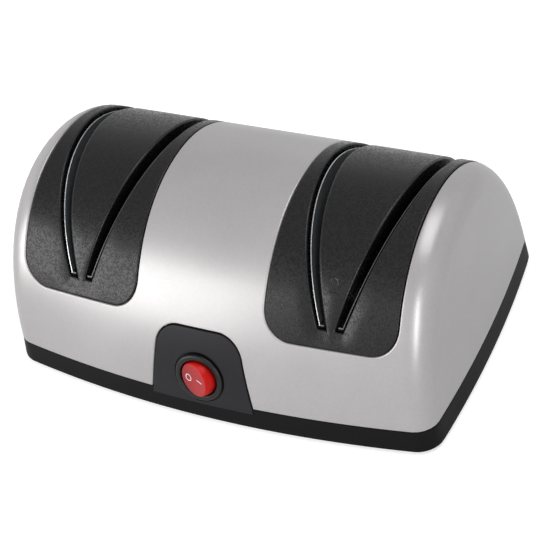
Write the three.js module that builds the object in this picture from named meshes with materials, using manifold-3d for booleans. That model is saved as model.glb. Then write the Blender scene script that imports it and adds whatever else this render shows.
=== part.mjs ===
// Two-stage electric knife sharpener: a bowed silver housing on a black tray, two slotted
// guide modules over motor-driven abrasive discs, and a round rocker switch in a raised panel.
// Millimetres, +Z up, front towards -Y, origin on the floor under the middle of the object.
import * as THREE from 'three';
import { ConvexGeometry } from 'three/addons/geometries/ConvexGeometry.js';
import { mergeVertices } from 'three/addons/utils/BufferGeometryUtils.js';
import Module from 'manifold-3d';

// Sizes shared by several pieces
const MIDDLE_Y = 5.61; // middle of the object's depth, measured from the end faces' own middle
const GAP = 0.3; // between pieces that touch
const OVERRUN = 4; // how far a cutting shape passes the surface that it cuts
const WELD = 0.00001; // points closer than this are one point
const SEGMENTS = 24; // facets round a large turned piece
const FEW_SEGMENTS = 12; // and round a small one

// Housing skin: two curves in side view, swept over the length
const PART_Z = 12.3; // height of the parting line between tray and housing
const RIDGE_Z = 86.3; // highest line of the housing
const RIDGE_Y = 8.1; // its distance behind the origin
const FRONT_Y = -51.6; // skin at the parting line, at the ends of the front
const BACK_Y = 74.2; // skin at the parting line, at the back
const FRONT_HANDLE = 43.9; // how far the front holds its direction at the bottom
const FRONT_LEAN = 0.027; // lean of the front at the bottom, as a slope
const FRONT_CROWN = 37; // how far the ridge stays level towards the front
const BACK_CROWN = 32.7; // and towards the back
const BACK_HANDLE = 44.2; // how far the back holds its direction at the bottom
const BACK_LEAN = 0.147; // lean of the back at the bottom, as a slope
const FRONT_BOW = 9.1; // the front stands forward in the middle by this, at the bottom
const BOW_FADE = 1.2; // power by which the bow fades out towards the ridge
const HALF_LENGTH = 99.5; // middle to end face at the parting line
const END_BOW = 3.5; // the end faces round back towards front and back by this
const END_SLOPE = 0.03; // draft of the end faces
const END_CONVERGE = 0.042; // the end faces close in towards the back
const END_RADIUS_LOW = 7.5; // rounding between end face and skin at the parting line
const END_RADIUS_HIGH = 12; // and at the ridge
const END_RADIUS_LEAST = 1; // an inner surface keeps at least this much of it
const HOUSING_WALL = 2.2;
const LENGTH_STEPS = 8; // stations along the length
const OUTSIDE = { skin: 10, length: LENGTH_STEPS, round: 3 }; // facets of the skin
const INSIDE = { skin: 6, length: 6, round: 2 }; // and of the surfaces under it
const END_STEPS = 2; // rings inside each end face

// Guide modules and their slots
const MIDDLE_BAND = 29.4; // half of the housing between the two modules
const END_BAND = 12.9; // housing between a module and the end face
const MODULE_HALF = (HALF_LENGTH - END_BAND - MIDDLE_BAND) / 2; // half width of an opening
const MODULE_X = MIDDLE_BAND + MODULE_HALF; // middle of a module
const MODULE_Z = 44.4; // lower edge of the opening
const MODULE_CORNER = 12; // corner rounding of the opening
const MODULE_GAP = 0.35; // between module and opening
const FLANGE_WALL = 1.7; // flange that holds the module under the housing wall
const FLANGE_REACH = 3;
const SLOT_Z = 51.5; // floor of the slots
const SLOT_Y = -45; // where the offsets below are measured, with SLOT_Z
const SLOT_INNER = 2.3; // from the middle of the module to the near wall of a slot
const SLOT_OUTER = 5.5; // and to its far wall
const SLOT_EDGE = 6.47; // slot to the edge of the module, at the ridge
const SLOT_WIDENING = 0.075; // how a slot widens with height, as a slope
const SLOT_SPREAD = 0.11; // how both walls drift from the middle towards the back
const SLOT_RISE = RIDGE_Z - SLOT_Z;
const SLOT_DRIFT = SLOT_SPREAD * (RIDGE_Y - SLOT_Y);
const SLOT_OUTER_LEAN = (MODULE_HALF - SLOT_EDGE - SLOT_OUTER - SLOT_DRIFT) / SLOT_RISE;
const SLOT_INNER_LEAN = SLOT_OUTER_LEAN - SLOT_WIDENING;
const GUIDE_WALL = 1.8; // walls that hang down beside each slot
const SPRING_STANDOFF = 0.62; // spring plate to the far wall of its slot
const SPRING_SHEET = 0.4; // thickness of the plate
const SPRING_SUNK = 1.8; // top edge of the plate under the skin
const SPRING_DEPTH = 11; // how deep the plate reaches under the skin
const HOOK_REACH = 1.9; // tab at its front end, bent across the slot
const HOOK_RISE = 1.6; // height of the tab

// Shaft line
const AXIS_Y = -6;
const AXIS_Z = 38;
const SHAFT_R = 3;
const DISC_R = 25;
const DISC_WIDTH = 5;
const DISC_FACE = 8.2; // sharpening face, from the middle of the module
const DISC_CLEAR = 1.5; // round a disc, where the guide walls are cut open
const BORE_CLEAR = 0.09; // running fit of the shaft in its bushes
const SPACER_R = 8;
const COLLAR_R = 6;
const COLLAR_WIDTH = 4;
const BUSH_R = 6;
const BUSH_WIDTH = 7;
const SHAFT_END = 1.5; // the shaft passes its bushes by this
const POST_SETBACK = 20; // middle of a module to the post that carries its bush
const POST_X = MODULE_X + POST_SETBACK;
const POST_HALF = 11;

// Motor
const MOTOR_R = 18;
const MOTOR_HALF = 24; // middle to the end of the can
const MOTOR_WALL = 1.2;
const BELL_PLATE = 3;
const BELL_BOSS = 3;
const BELL_SPIGOT = 8; // ring of the end bell that enters the can
const BELL_RING = 2.5; // thickness of that ring
const MAGNET_SHEET = 4.5; // thickness of a magnet
const MAGNET_IN = MOTOR_R - MOTOR_WALL - GAP - MAGNET_SHEET;
const AIR_GAP = 1; // rotor to magnets
const ROTOR_R = MAGNET_IN - AIR_GAP;
const ROTOR_INSET = 12; // from the end of the can
const ROTOR_HALF = MOTOR_HALF - ROTOR_INSET;
const ROTOR_SLOTS = 5;
const ROTOR_SLOT_WIDTH = 2.4;
const ROTOR_HUB_R = 5; // bottom of the winding slots
const MAGNET_INSET = 11; // from the end of the can
const MAGNET_HALF = MOTOR_HALF - MAGNET_INSET;
const MAGNET_ANGLE = 1.1; // half angle of a magnet, radians
const COMMUTATOR_R = 5;
const COMMUTATOR_GAP = 2; // rotor core to commutator
const COMMUTATOR_X = ROTOR_HALF + COMMUTATOR_GAP;
const COMMUTATOR_WIDTH = 6.5;
const BRUSH_SIDE = 3.4;
const SADDLE_INSET = 9; // middle of a saddle under the motor, from the end of the can
const SADDLE_X = MOTOR_HALF - SADDLE_INSET;
const SADDLE_WIDTH = 7;
const SADDLE_SIDE = 7; // saddle material beside the can, where the strap lands
const STRAP_SHEET = 1.2;
const STRAP_SCREW_R = 1.3;
const STRAP_SCREW_HEAD_R = 2.5;
const STRAP_SCREW_HEAD = 1.8;
const STRAP_SCREW_LENGTH = 8;

// Tray
const FOOT_PROUD = 1.5; // feet stand out of the tray by this
const TRAY_FLARE = 1.1; // the band is wider at its lower edge
const TRAY_EDGE = 0.8; // chamfer along its lower edge
const SEAM = 0.5; // open line between tray and housing
const TRAY_WALL = 2.4;
const TRAY_FLOOR = 2.2;
const LIP_WALL = 1.5; // lip that enters the housing
const LIP_HEIGHT = 4;

// Switch panel, part of the tray
const PANEL_WALL = 3;
const PANEL_GAP = 0.6;
const PANEL_TOP_Z = 42.7;
const PANEL_LOW_HALF = 23.3; // half width at the parting line
const PANEL_HIGH_HALF = 18.2; // half width where the sides would meet the top edge
const PANEL_CORNER = 10.8;
const SWITCH_Z = 21.9;
const SWITCH_TILT = 0.2; // radians back from upright
const SWITCH_SEAT = 57.9; // seat of the bezel in front of the origin, at SWITCH_Z
const BEZEL_R = 11.2;
const BEZEL_PROUD = 1.8;
const BEZEL_EDGE = 0.8;
const BARREL_R = 9.9; // switch body behind the seat
const BARREL_DEPTH = 13;
const WELL_R = 8.5; // well that the rocker turns in
const WELL_DEPTH = 10;
const ROCKER_R = 8.1; // the rocker is a ball round its pivot, cut off at its face
const ROCKER_PIVOT = 0.3; // pivot in front of the seat
const ROCKER_FACE = 3.5; // rim of the face in front of the pivot
const ROCKER_DISH = 0.3; // the middle of the face lies this much lower
const ROCKER_BACK = 6; // back of the rocker behind the pivot
const ROCKER_REST = 0.32; // radians, off side pressed in
const PIN_R = 0.9;
const PIN_REACH = 1.1; // the pivot pins enter the switch body by this
const TERMINAL_X = 4.2;
const TERMINAL_SHEET = 0.8;
const TERMINAL_WIDTH = 6.3;
const TERMINAL_LENGTH = 8;

// Fasteners and feet
const BOSS_R = 4.2;
const BOSS_BORE = 1.5;
const BOSS_RIB = 1.6; // thickness of the rib from boss to end wall
const BOSS_TOP_Z = 38;
const BOSS_FRONT_INSET = 7; // boss to the end of the housing
const BOSS_FRONT_SETBACK = 21.6; // and to the front
const BOSS_BACK_INSET = 10;
const BOSS_BACK_SETBACK = 20.2;
const SCREW_R = 1.2;
const SCREW_HEAD_R = 2.8;
const SCREW_HEAD = 2;
const SCREW_LENGTH = 14;
const FOOT_R = 7;
const FOOT_SEAT = 1.2; // depth of the pocket that a foot sits in
const FOOT_INSET = 23.5; // foot to the end of the housing
const FOOT_FRONT_SETBACK = 7.6;
const FOOT_BACK_SETBACK = 12.2;

// Openings in the tray and the housing
const VENT_COUNT = 5;
const VENT_WIDTH = 3;
const VENT_LENGTH = 26;
const VENT_PITCH = 7;
const INLET_R = 3.6; // hole for the supply cord, low in the back
const INLET_INSET = 37.5; // from the left end of the housing
const INLET_Z = 24;

const wasm = await Module();
wasm.setup();

// A closed solid from a geometry, for joins and cuts
function solid(geometry) {
  const shape = geometry.clone();
  shape.deleteAttribute('normal');
  shape.deleteAttribute('uv');
  const welded = mergeVertices(shape, WELD);
  return new wasm.Manifold(new wasm.Mesh({
    numProp: 3,
    vertProperties: new Float32Array(welded.attributes.position.array),
    triVerts: new Uint32Array(welded.index.array),
  }));
}

// The geometry of a solid, for a mesh
function surface(shape) {
  const { vertProperties, triVerts } = shape.getMesh();
  const geometry = new THREE.BufferGeometry();
  geometry.setAttribute('position', new THREE.BufferAttribute(new Float32Array(vertProperties), 3));
  geometry.setIndex(new THREE.BufferAttribute(new Uint32Array(triVerts), 1));
  geometry.computeVertexNormals();
  return geometry;
}

const join = (first, ...rest) => rest.reduce((sum, shape) => sum.add(shape), first);
const cut = (first, ...rest) => rest.reduce((left, shape) => left.subtract(shape), first);

// A box between two corners
function block([x0, y0, z0], [x1, y1, z1]) {
  const box = new THREE.BoxGeometry(x1 - x0, y1 - y0, z1 - z0);
  box.translate((x0 + x1) / 2, (y0 + y1) / 2, (z0 + z1) / 2);
  return solid(box);
}

// A round bar from z0 to z1
function bar(radius, x, y, z0, z1, segments = SEGMENTS) {
  const cylinder = new THREE.CylinderGeometry(radius, radius, z1 - z0, segments);
  cylinder.rotateX(Math.PI / 2);
  cylinder.translate(x, y, (z0 + z1) / 2);
  return solid(cylinder);
}

// A body turned on the shaft line from [distance along X, radius] points
function turned(points, segments = SEGMENTS) {
  const profile = points.map(([along, radius]) => new THREE.Vector2(radius, along));
  const lathe = new THREE.LatheGeometry([...profile, profile[0]], segments);
  lathe.rotateZ(-Math.PI / 2);
  lathe.translate(0, AXIS_Y, AXIS_Z);
  return solid(lathe);
}

// A turned ring or disc on the shaft line
function ring(x0, x1, inner, outer, segments = SEGMENTS) {
  return turned([[x0, inner], [x0, outer], [x1, outer], [x1, inner]], segments);
}

// A front-view outline pushed through from y0 to y1
function prism(shape, y0, y1) {
  const body = new THREE.ExtrudeGeometry(shape, { depth: y1 - y0, bevelEnabled: false, curveSegments: 6 });
  body.rotateX(Math.PI / 2);
  body.translate(0, y1, 0);
  return solid(body);
}

// Closed body through a row of rings of points, capped at both ends
function loft(rings, caps) {
  const count = rings[0].length;
  const positions = rings.flat().flatMap((point) => point.toArray());
  const triangles = [];
  for (let ringIndex = 0; ringIndex + 1 < rings.length; ringIndex++) {
    for (let index = 0; index < count; index++) {
      const a = ringIndex * count + index;
      const b = ringIndex * count + (index + 1) % count;
      triangles.push(a, b, b + count, a, b + count, a + count);
    }
  }
  const last = (rings.length - 1) * count;
  for (const [a, b, c] of caps) triangles.push(a, c, b, last + a, last + b, last + c);
  const geometry = new THREE.BufferGeometry();
  geometry.setAttribute('position', new THREE.Float32BufferAttribute(positions, 3));
  geometry.setIndex(triangles);
  return geometry;
}

// Side-view outline of the skin, front bottom to back bottom, pulled in by an inset
function sideView(inset, steps) {
  const front = new THREE.CubicBezierCurve(
    new THREE.Vector2(FRONT_Y, PART_Z),
    new THREE.Vector2(FRONT_Y + FRONT_HANDLE * FRONT_LEAN, PART_Z + FRONT_HANDLE),
    new THREE.Vector2(RIDGE_Y - FRONT_CROWN, RIDGE_Z),
    new THREE.Vector2(RIDGE_Y, RIDGE_Z));
  const back = new THREE.CubicBezierCurve(
    new THREE.Vector2(RIDGE_Y, RIDGE_Z),
    new THREE.Vector2(RIDGE_Y + BACK_CROWN, RIDGE_Z),
    new THREE.Vector2(BACK_Y - BACK_HANDLE * BACK_LEAN, PART_Z + BACK_HANDLE),
    new THREE.Vector2(BACK_Y, PART_Z));
  const points = [];
  for (const [curve, first] of [[front, 0], [back, 1]]) {
    for (let step = first; step <= steps; step++) {
      const at = curve.getPointAt(step / steps);
      const along = curve.getTangentAt(step / steps);
      const edge = (curve === front && step === 0) || (curve === back && step === steps);
      const pull = inset / (edge ? Math.abs(along.y) : 1);
      const inward = edge
        ? new THREE.Vector2(Math.sign(along.y), 0)
        : new THREE.Vector2(along.y, -along.x);
      points.push(at.addScaledVector(inward, pull));
    }
  }
  return points;
}

// How far the front skin stands forward at a place
function bow(x, y, z, end) {
  const fade = THREE.MathUtils.clamp((RIDGE_Z - z) / (RIDGE_Z - PART_Z), 0, 1) ** BOW_FADE;
  return y < RIDGE_Y ? -FRONT_BOW * (1 - (x / end) ** 2) * fade : 0;
}

// Middle to end face at a place
function endFace(y, z) {
  const middle = (FRONT_Y + BACK_Y) / 2;
  const half = (BACK_Y - FRONT_Y) / 2;
  const height = Math.max(z - PART_Z, 0);
  return HALF_LENGTH - END_SLOPE * height - END_BOW * ((y - middle) / half) ** 2
    - END_CONVERGE * (y - middle);
}

// Stations along the length: side, share of the straight run, share of the end rounding
function stations({ length, round }) {
  const list = [];
  for (let step = round; step > 0; step--) list.push([-1, 1, step / round]);
  for (let step = 0; step <= length; step++) {
    const run = 2 * step / length - 1;
    list.push([Math.sign(run), Math.abs(run), 0]);
  }
  for (let step = 1; step <= round; step++) list.push([1, 1, step / round]);
  return list;
}

// The housing's body, pulled in by an inset, down to a floor height
function barrel(inset, floor) {
  const facets = inset > 0 ? INSIDE : OUTSIDE;
  const plain = sideView(inset, facets.skin);
  const pulled = sideView(inset + END_RADIUS_LEAST, facets.skin);
  const middle = (FRONT_Y + BACK_Y) / 2;
  const high = (z) => THREE.MathUtils.clamp((z - PART_Z) / (RIDGE_Z - PART_Z), 0, 1);
  const place = (side, y, z, xOf) => {
    const end = endFace(y, z) - inset;
    const x = xOf(end);
    return new THREE.Vector3(side * x, y + bow(x, y, z, end), z);
  };
  const row = ([side, run, turn]) => {
    const angle = turn * Math.PI / 2;
    const points = plain.map((point, index) => {
      const round = THREE.MathUtils.lerp(END_RADIUS_LOW, END_RADIUS_HIGH, high(point.y));
      const radius = Math.max(round - inset, END_RADIUS_LEAST);
      const depth = radius * (1 - Math.cos(angle));
      const step = pulled[index].clone().sub(point).multiplyScalar(depth / END_RADIUS_LEAST);
      return place(side, point.x + step.x, point.y + step.y,
        (end) => run * (end - radius) + radius * Math.sin(angle));
    });
    return [...points, points.at(-1).clone().setZ(floor), points[0].clone().setZ(floor)];
  };
  const inner = (outer, share) => outer.map((point) => place(
    Math.sign(point.x),
    THREE.MathUtils.lerp(point.y, middle, share),
    THREE.MathUtils.lerp(point.z, floor, share),
    (end) => end));
  const rows = stations(facets).reverse().map(row);
  for (let step = 0; step < END_STEPS; step++) {
    const share = 1 / (END_STEPS + 1 - step);
    rows.unshift(inner(rows[0], share));
    rows.push(inner(rows.at(-1), share));
  }
  // Each end is closed by strips between the front half and the back half of its ring
  const caps = [];
  const last = plain.length - 1;
  for (let low = 0, top = last; low + 1 < top; low++, top--) {
    caps.push([low, low + 1, top], ...(low + 1 < top - 1 ? [[low + 1, top - 1, top]] : []));
  }
  caps.push([0, last, last + 1], [0, last + 1, last + 2]);
  return solid(loft(rows, caps));
}

// Plan outline of the skin at the parting line, pulled in by an inset, at a height
function planLoop(inset, z) {
  const point = (side, run, turn, y) => {
    const radius = Math.max(END_RADIUS_LOW - inset, END_RADIUS_LEAST);
    const depth = radius * (1 - Math.cos(turn * Math.PI / 2));
    const level = y < RIDGE_Y ? y + inset + depth : y - inset - depth;
    const end = endFace(level, PART_Z) - inset;
    const x = side * (run * (end - radius) + radius * Math.sin(turn * Math.PI / 2));
    return new THREE.Vector3(x, level + bow(x, level, PART_Z, end), z);
  };
  const front = stations(OUTSIDE).map(([side, run, turn]) => point(side, run, turn, FRONT_Y));
  const back = stations(OUTSIDE).reverse().map(([side, run, turn]) => point(side, run, turn, BACK_Y));
  const flank = (side, from, to) => Array.from({ length: LENGTH_STEPS / 2 - 1 }, (_, step) => {
    const y = THREE.MathUtils.lerp(from.y, to.y, (step + 1) / (LENGTH_STEPS / 2));
    return new THREE.Vector3(side * (endFace(y, PART_Z) - inset), y, z);
  });
  return [...front, ...flank(1, front.at(-1), back[0]), ...back, ...flank(-1, back.at(-1), front[0])];
}

// A body with the plan outline, through levels of [inset, height]
function planBody(levels) {
  const rings = levels.map(([inset, z]) => planLoop(inset, z));
  const flat = rings[0].map((point) => new THREE.Vector2(point.x, point.y));
  return solid(loft(rings, THREE.ShapeUtils.triangulateShape(flat, [])));
}

// Front-view outline of a module opening, grown by a margin
function moduleOutline(side, margin) {
  const middle = side * MODULE_X;
  const half = MODULE_HALF + margin;
  const low = MODULE_Z - margin;
  const corner = MODULE_CORNER + margin;
  const shape = new THREE.Shape();
  shape.moveTo(middle - half, RIDGE_Z + OVERRUN);
  shape.lineTo(middle - half, low + corner);
  shape.absarc(middle - half + corner, low + corner, corner, Math.PI, 1.5 * Math.PI);
  shape.absarc(middle + half - corner, low + corner, corner, 1.5 * Math.PI, 2 * Math.PI);
  shape.lineTo(middle + half, RIDGE_Z + OVERRUN);
  return shape;
}

// Front-view outline of the switch panel, grown by a margin, from a floor height
function panelOutline(margin, floor) {
  const lean = (PANEL_LOW_HALF - PANEL_HIGH_HALF) / (PANEL_TOP_Z - PART_Z);
  const angle = Math.atan(lean);
  const top = PANEL_TOP_Z + margin;
  const corner = PANEL_CORNER + margin;
  const halfAt = (z) => PANEL_LOW_HALF + margin / Math.cos(angle) - lean * (z - PART_Z);
  const centreZ = top - corner;
  const centreX = halfAt(centreZ) - corner / Math.cos(angle);
  const shape = new THREE.Shape();
  shape.moveTo(-halfAt(floor), floor);
  shape.lineTo(halfAt(floor), floor);
  shape.absarc(centreX, centreZ, corner, angle, Math.PI / 2);
  shape.absarc(-centreX, centreZ, corner, Math.PI / 2, Math.PI - angle);
  return shape;
}

// Distance of a slot wall from the middle of its module
const slotWall = (base, lean, y, z) => base + lean * (z - SLOT_Z) + SLOT_SPREAD * (y - SLOT_Y);

// The wedge between two leaning walls on one side of a module, from a floor height up
function slotWedge(side, hand, inner, outer, floor) {
  const points = [];
  for (const y of [FRONT_Y - FRONT_BOW - OVERRUN, BACK_Y + OVERRUN]) {
    for (const z of [floor, RIDGE_Z + OVERRUN]) {
      for (const [base, lean] of [inner, outer]) {
        points.push(new THREE.Vector3(side * MODULE_X + hand * slotWall(base, lean, y, z), y, z));
      }
    }
  }
  return solid(new ConvexGeometry(points));
}

const skin = barrel(0, PART_Z);
const insideHousing = barrel(HOUSING_WALL, PART_Z - OVERRUN);
const bosses = [-1, 1].flatMap((side) => [
  [side * (HALF_LENGTH - BOSS_FRONT_INSET), FRONT_Y + BOSS_FRONT_SETBACK],
  [side * (HALF_LENGTH - BOSS_BACK_INSET), BACK_Y - BOSS_BACK_SETBACK]]);
const strapScrews = [-1, 1].flatMap((side) => [-1, 1].map((hand) => [
  side * SADDLE_X,
  AXIS_Y + hand * (MOTOR_R + GAP + SADDLE_SIDE / 2)]));
const feet = [-1, 1].flatMap((side) => [
  [side * (HALF_LENGTH - FOOT_INSET), FRONT_Y + FOOT_FRONT_SETBACK],
  [side * (HALF_LENGTH - FOOT_INSET), BACK_Y - FOOT_BACK_SETBACK]]);

// A screw boss of the housing with its rib to the end wall, grown by a margin
function pillar(x, y, margin) {
  const rib = BOSS_RIB / 2 + margin;
  const end = Math.sign(x) * HALF_LENGTH;
  return join(bar(BOSS_R + margin, x, y, PART_Z + GAP - margin, BOSS_TOP_Z, FEW_SEGMENTS),
    block([Math.min(x, end), y - rib, PART_Z + GAP - margin], [Math.max(x, end), y + rib, BOSS_TOP_Z]));
}

// Housing: a shell open below, with openings for both modules, the panel and the cord
function housing() {
  let shell = cut(skin, insideHousing);
  const pillars = bosses.map(([x, y]) => pillar(x, y, 0).intersect(skin));
  shell = join(shell, ...pillars);
  const reach = [FRONT_Y - FRONT_BOW - OVERRUN, BACK_Y + OVERRUN];
  for (const side of [-1, 1]) shell = cut(shell, prism(moduleOutline(side, 0), ...reach));
  shell = cut(shell, prism(panelOutline(PANEL_GAP, PART_Z - OVERRUN), reach[0], RIDGE_Y - OVERRUN));
  const bores = bosses.map(([x, y]) => bar(BOSS_BORE, x, y,
    PART_Z - OVERRUN, PART_Z + SCREW_LENGTH, FEW_SEGMENTS));
  const inlet = new THREE.CylinderGeometry(INLET_R, INLET_R, BACK_Y, FEW_SEGMENTS);
  inlet.translate(INLET_INSET - HALF_LENGTH, BACK_Y, INLET_Z);
  return cut(shell, ...bores, solid(inlet));
}

// Guide module: a thick skin with a flange under the housing and two leaning slots
function guideModule(side) {
  const reach = [FRONT_Y - FRONT_BOW - OVERRUN, BACK_Y + OVERRUN];
  const under = HOUSING_WALL + GAP;
  const within = prism(moduleOutline(side, -MODULE_GAP), ...reach);
  const flangeWithin = prism(moduleOutline(side, FLANGE_REACH), ...reach);
  const hollow = barrel(under + FLANGE_WALL, PART_Z);
  const cover = cut(skin.intersect(within), hollow);
  const flange = cut(barrel(under, PART_Z).intersect(flangeWithin), hollow);
  const inside = barrel(under, PART_Z).intersect(within);
  const walls = [];
  const slots = [];
  for (const hand of [-1, 1]) {
    const inner = [SLOT_INNER, SLOT_INNER_LEAN];
    const outer = [SLOT_OUTER, SLOT_OUTER_LEAN];
    slots.push(slotWedge(side, hand, inner, outer, SLOT_Z));
    walls.push(inside.intersect(slotWedge(side, hand, [SLOT_INNER - GUIDE_WALL, SLOT_INNER_LEAN],
      [SLOT_OUTER + GUIDE_WALL, SLOT_OUTER_LEAN], SLOT_Z - GUIDE_WALL)));
  }
  const window = ring(side * MODULE_X - MODULE_HALF, side * MODULE_X + MODULE_HALF,
    0, DISC_R + DISC_CLEAR);
  return cut(join(cover, flange, ...walls), ...slots, window);
}

// Spring plate along the far wall of a slot, with a hook across the slot's front end
function guideSpring(side, hand) {
  const far = SLOT_OUTER - SPRING_STANDOFF;
  const plate = slotWedge(side, hand, [far - SPRING_SHEET, SLOT_OUTER_LEAN], [far, SLOT_OUTER_LEAN],
    SLOT_Z + GAP);
  const hook = slotWedge(side, hand, [far - SPRING_SHEET - HOOK_REACH, SLOT_OUTER_LEAN],
    [far, SLOT_OUTER_LEAN], SLOT_Z + GAP);
  const low = block([-HALF_LENGTH, FRONT_Y - FRONT_BOW, 0],
    [HALF_LENGTH, RIDGE_Y, SLOT_Z + GAP + HOOK_RISE]);
  const edge = barrel(SPRING_SUNK, PART_Z);
  const band = cut(edge, barrel(SPRING_DEPTH, PART_Z));
  const tip = cut(edge, barrel(SPRING_SUNK + SPRING_SHEET, PART_Z));
  return join(plate.intersect(band), hook.intersect(low).intersect(tip));
}

// Tray: a shallow dish with a lip, the switch panel, saddles, posts, bosses and vents
function tray() {
  const top = PART_Z - SEAM;
  const floor = FOOT_PROUD + TRAY_FLOOR;
  const lip = HOUSING_WALL + GAP;
  const lipTop = PART_Z + LIP_HEIGHT;
  const ledge = top - TRAY_WALL;
  let body = planBody([
    [TRAY_EDGE - TRAY_FLARE, FOOT_PROUD],
    [-TRAY_FLARE, FOOT_PROUD + TRAY_EDGE],
    [0, top]]);
  body = cut(body, planBody([[TRAY_WALL, floor], [TRAY_WALL, ledge], [lip + LIP_WALL, ledge + LIP_WALL]]));
  const rim = block([-HALF_LENGTH, FRONT_Y - FRONT_BOW, ledge], [HALF_LENGTH, BACK_Y, lipTop]);
  body = join(body, barrel(lip, ledge).intersect(rim));
  body = cut(body, barrel(lip + LIP_WALL, ledge - GAP));
  // Panel in the skin of the housing, down into the band
  const root = PART_Z - LIP_HEIGHT;
  const reach = [FRONT_Y - FRONT_BOW - OVERRUN, RIDGE_Y - FRONT_CROWN];
  const face = cut(barrel(0, root), barrel(PANEL_WALL, root - OVERRUN));
  body = cut(body, prism(panelOutline(PANEL_GAP, PART_Z), ...reach));
  body = join(body, face.intersect(prism(panelOutline(0, root), ...reach)));
  // Saddles under the motor and posts for the bushes
  const saddleHalf = MOTOR_R + GAP + SADDLE_SIDE;
  for (const side of [-1, 1]) {
    const saddle = side * SADDLE_X;
    const post = side * POST_X;
    body = join(body,
      block([saddle - SADDLE_WIDTH / 2, AXIS_Y - saddleHalf, floor - GAP],
        [saddle + SADDLE_WIDTH / 2, AXIS_Y + saddleHalf, AXIS_Z]),
      block([post - BUSH_WIDTH / 2, AXIS_Y - POST_HALF, floor - GAP],
        [post + BUSH_WIDTH / 2, AXIS_Y + POST_HALF, AXIS_Z]),
      ring(post - BUSH_WIDTH / 2, post + BUSH_WIDTH / 2, 0, POST_HALF));
  }
  body = cut(body,
    ring(-MOTOR_HALF - OVERRUN, MOTOR_HALF + OVERRUN, 0, MOTOR_R + GAP),
    ring(-POST_X - BUSH_WIDTH, POST_X + BUSH_WIDTH, 0, BUSH_R + GAP));
  for (const [x, y] of strapScrews) {
    const depth = AXIS_Z - STRAP_SCREW_LENGTH - GAP;
    body = cut(body, bar(STRAP_SCREW_R + GAP, x, y, depth, AXIS_Z + OVERRUN, FEW_SEGMENTS));
  }
  body = cut(body, switchBar(BEZEL_R + GAP, 0, BEZEL_R), switchBar(BARREL_R + GAP, -BARREL_DEPTH, OVERRUN));
  // Screw bosses with sunk heads, room for the housing's bosses, foot pockets
  for (const [x, y] of bosses) {
    body = cut(body, pillar(x, y, GAP));
    const boss = bar(BOSS_R, x, y, floor - GAP, PART_Z, FEW_SEGMENTS);
    body = join(body, boss.intersect(planBody([[0, 0], [0, PART_Z]])));
    body = cut(body, bar(SCREW_R + GAP, x, y, 0, PART_Z + OVERRUN, FEW_SEGMENTS),
      bar(SCREW_HEAD_R + GAP, x, y, 0, FOOT_PROUD + SCREW_HEAD + GAP, FEW_SEGMENTS));
  }
  for (const [x, y] of feet) {
    body = cut(body, bar(FOOT_R + GAP, x, y, 0, FOOT_PROUD + FOOT_SEAT, FEW_SEGMENTS));
  }
  // Vents under each module
  for (const side of [-1, 1]) {
    for (let index = 0; index < VENT_COUNT; index++) {
      const x = side * MODULE_X + (index - (VENT_COUNT - 1) / 2) * VENT_PITCH;
      body = cut(body, block([x - VENT_WIDTH / 2, AXIS_Y - VENT_LENGTH / 2, 0],
        [x + VENT_WIDTH / 2, AXIS_Y + VENT_LENGTH / 2, floor + GAP]));
    }
  }
  return body;
}

// A round bar on the switch's own axis, between two depths measured out of its seat
function switchBar(radius, from, to, segments = SEGMENTS) {
  const cylinder = new THREE.CylinderGeometry(radius, radius, to - from, segments);
  cylinder.rotateX(Math.PI);
  cylinder.translate(0, -(from + to) / 2, 0);
  cylinder.rotateX(-SWITCH_TILT);
  cylinder.translate(0, -SWITCH_SEAT, SWITCH_Z);
  return solid(cylinder);
}

// A body turned on the switch's own axis, from [radius, distance out of the seat] points
function switchTurned(points, segments = SEGMENTS) {
  const profile = points.map(([radius, out]) => new THREE.Vector2(radius, out));
  const lathe = new THREE.LatheGeometry([...profile, profile[0]], segments);
  lathe.rotateX(Math.PI / 2);
  return placeOnSeat(lathe);
}

// From the seat's own frame, +Z out of the panel, into place
function placeOnSeat(geometry) {
  geometry.rotateX(Math.PI / 2 - SWITCH_TILT);
  geometry.translate(0, -SWITCH_SEAT, SWITCH_Z);
  return solid(geometry);
}

// Switch body: a bezel on the seat, a barrel through the panel and a well for the rocker
function switchBody() {
  const body = switchTurned([
    [0, -BARREL_DEPTH + GAP],
    [BARREL_R, -BARREL_DEPTH + GAP],
    [BARREL_R, GAP],
    [BEZEL_R, GAP],
    [BEZEL_R, BEZEL_PROUD - BEZEL_EDGE],
    [BEZEL_R - BEZEL_EDGE, BEZEL_PROUD],
    [WELL_R + BEZEL_EDGE / 2, BEZEL_PROUD],
    [WELL_R, BEZEL_PROUD - BEZEL_EDGE / 2],
    [WELL_R, -WELL_DEPTH],
    [0, -WELL_DEPTH]]);
  const pinHole = PIN_R + GAP;
  const pins = new THREE.CylinderGeometry(pinHole, pinHole, 2 * (ROCKER_R + PIN_REACH + GAP), FEW_SEGMENTS);
  pins.translate(0, 0, ROCKER_PIVOT);
  return cut(body, placeOnSeat(pins));
}

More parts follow.
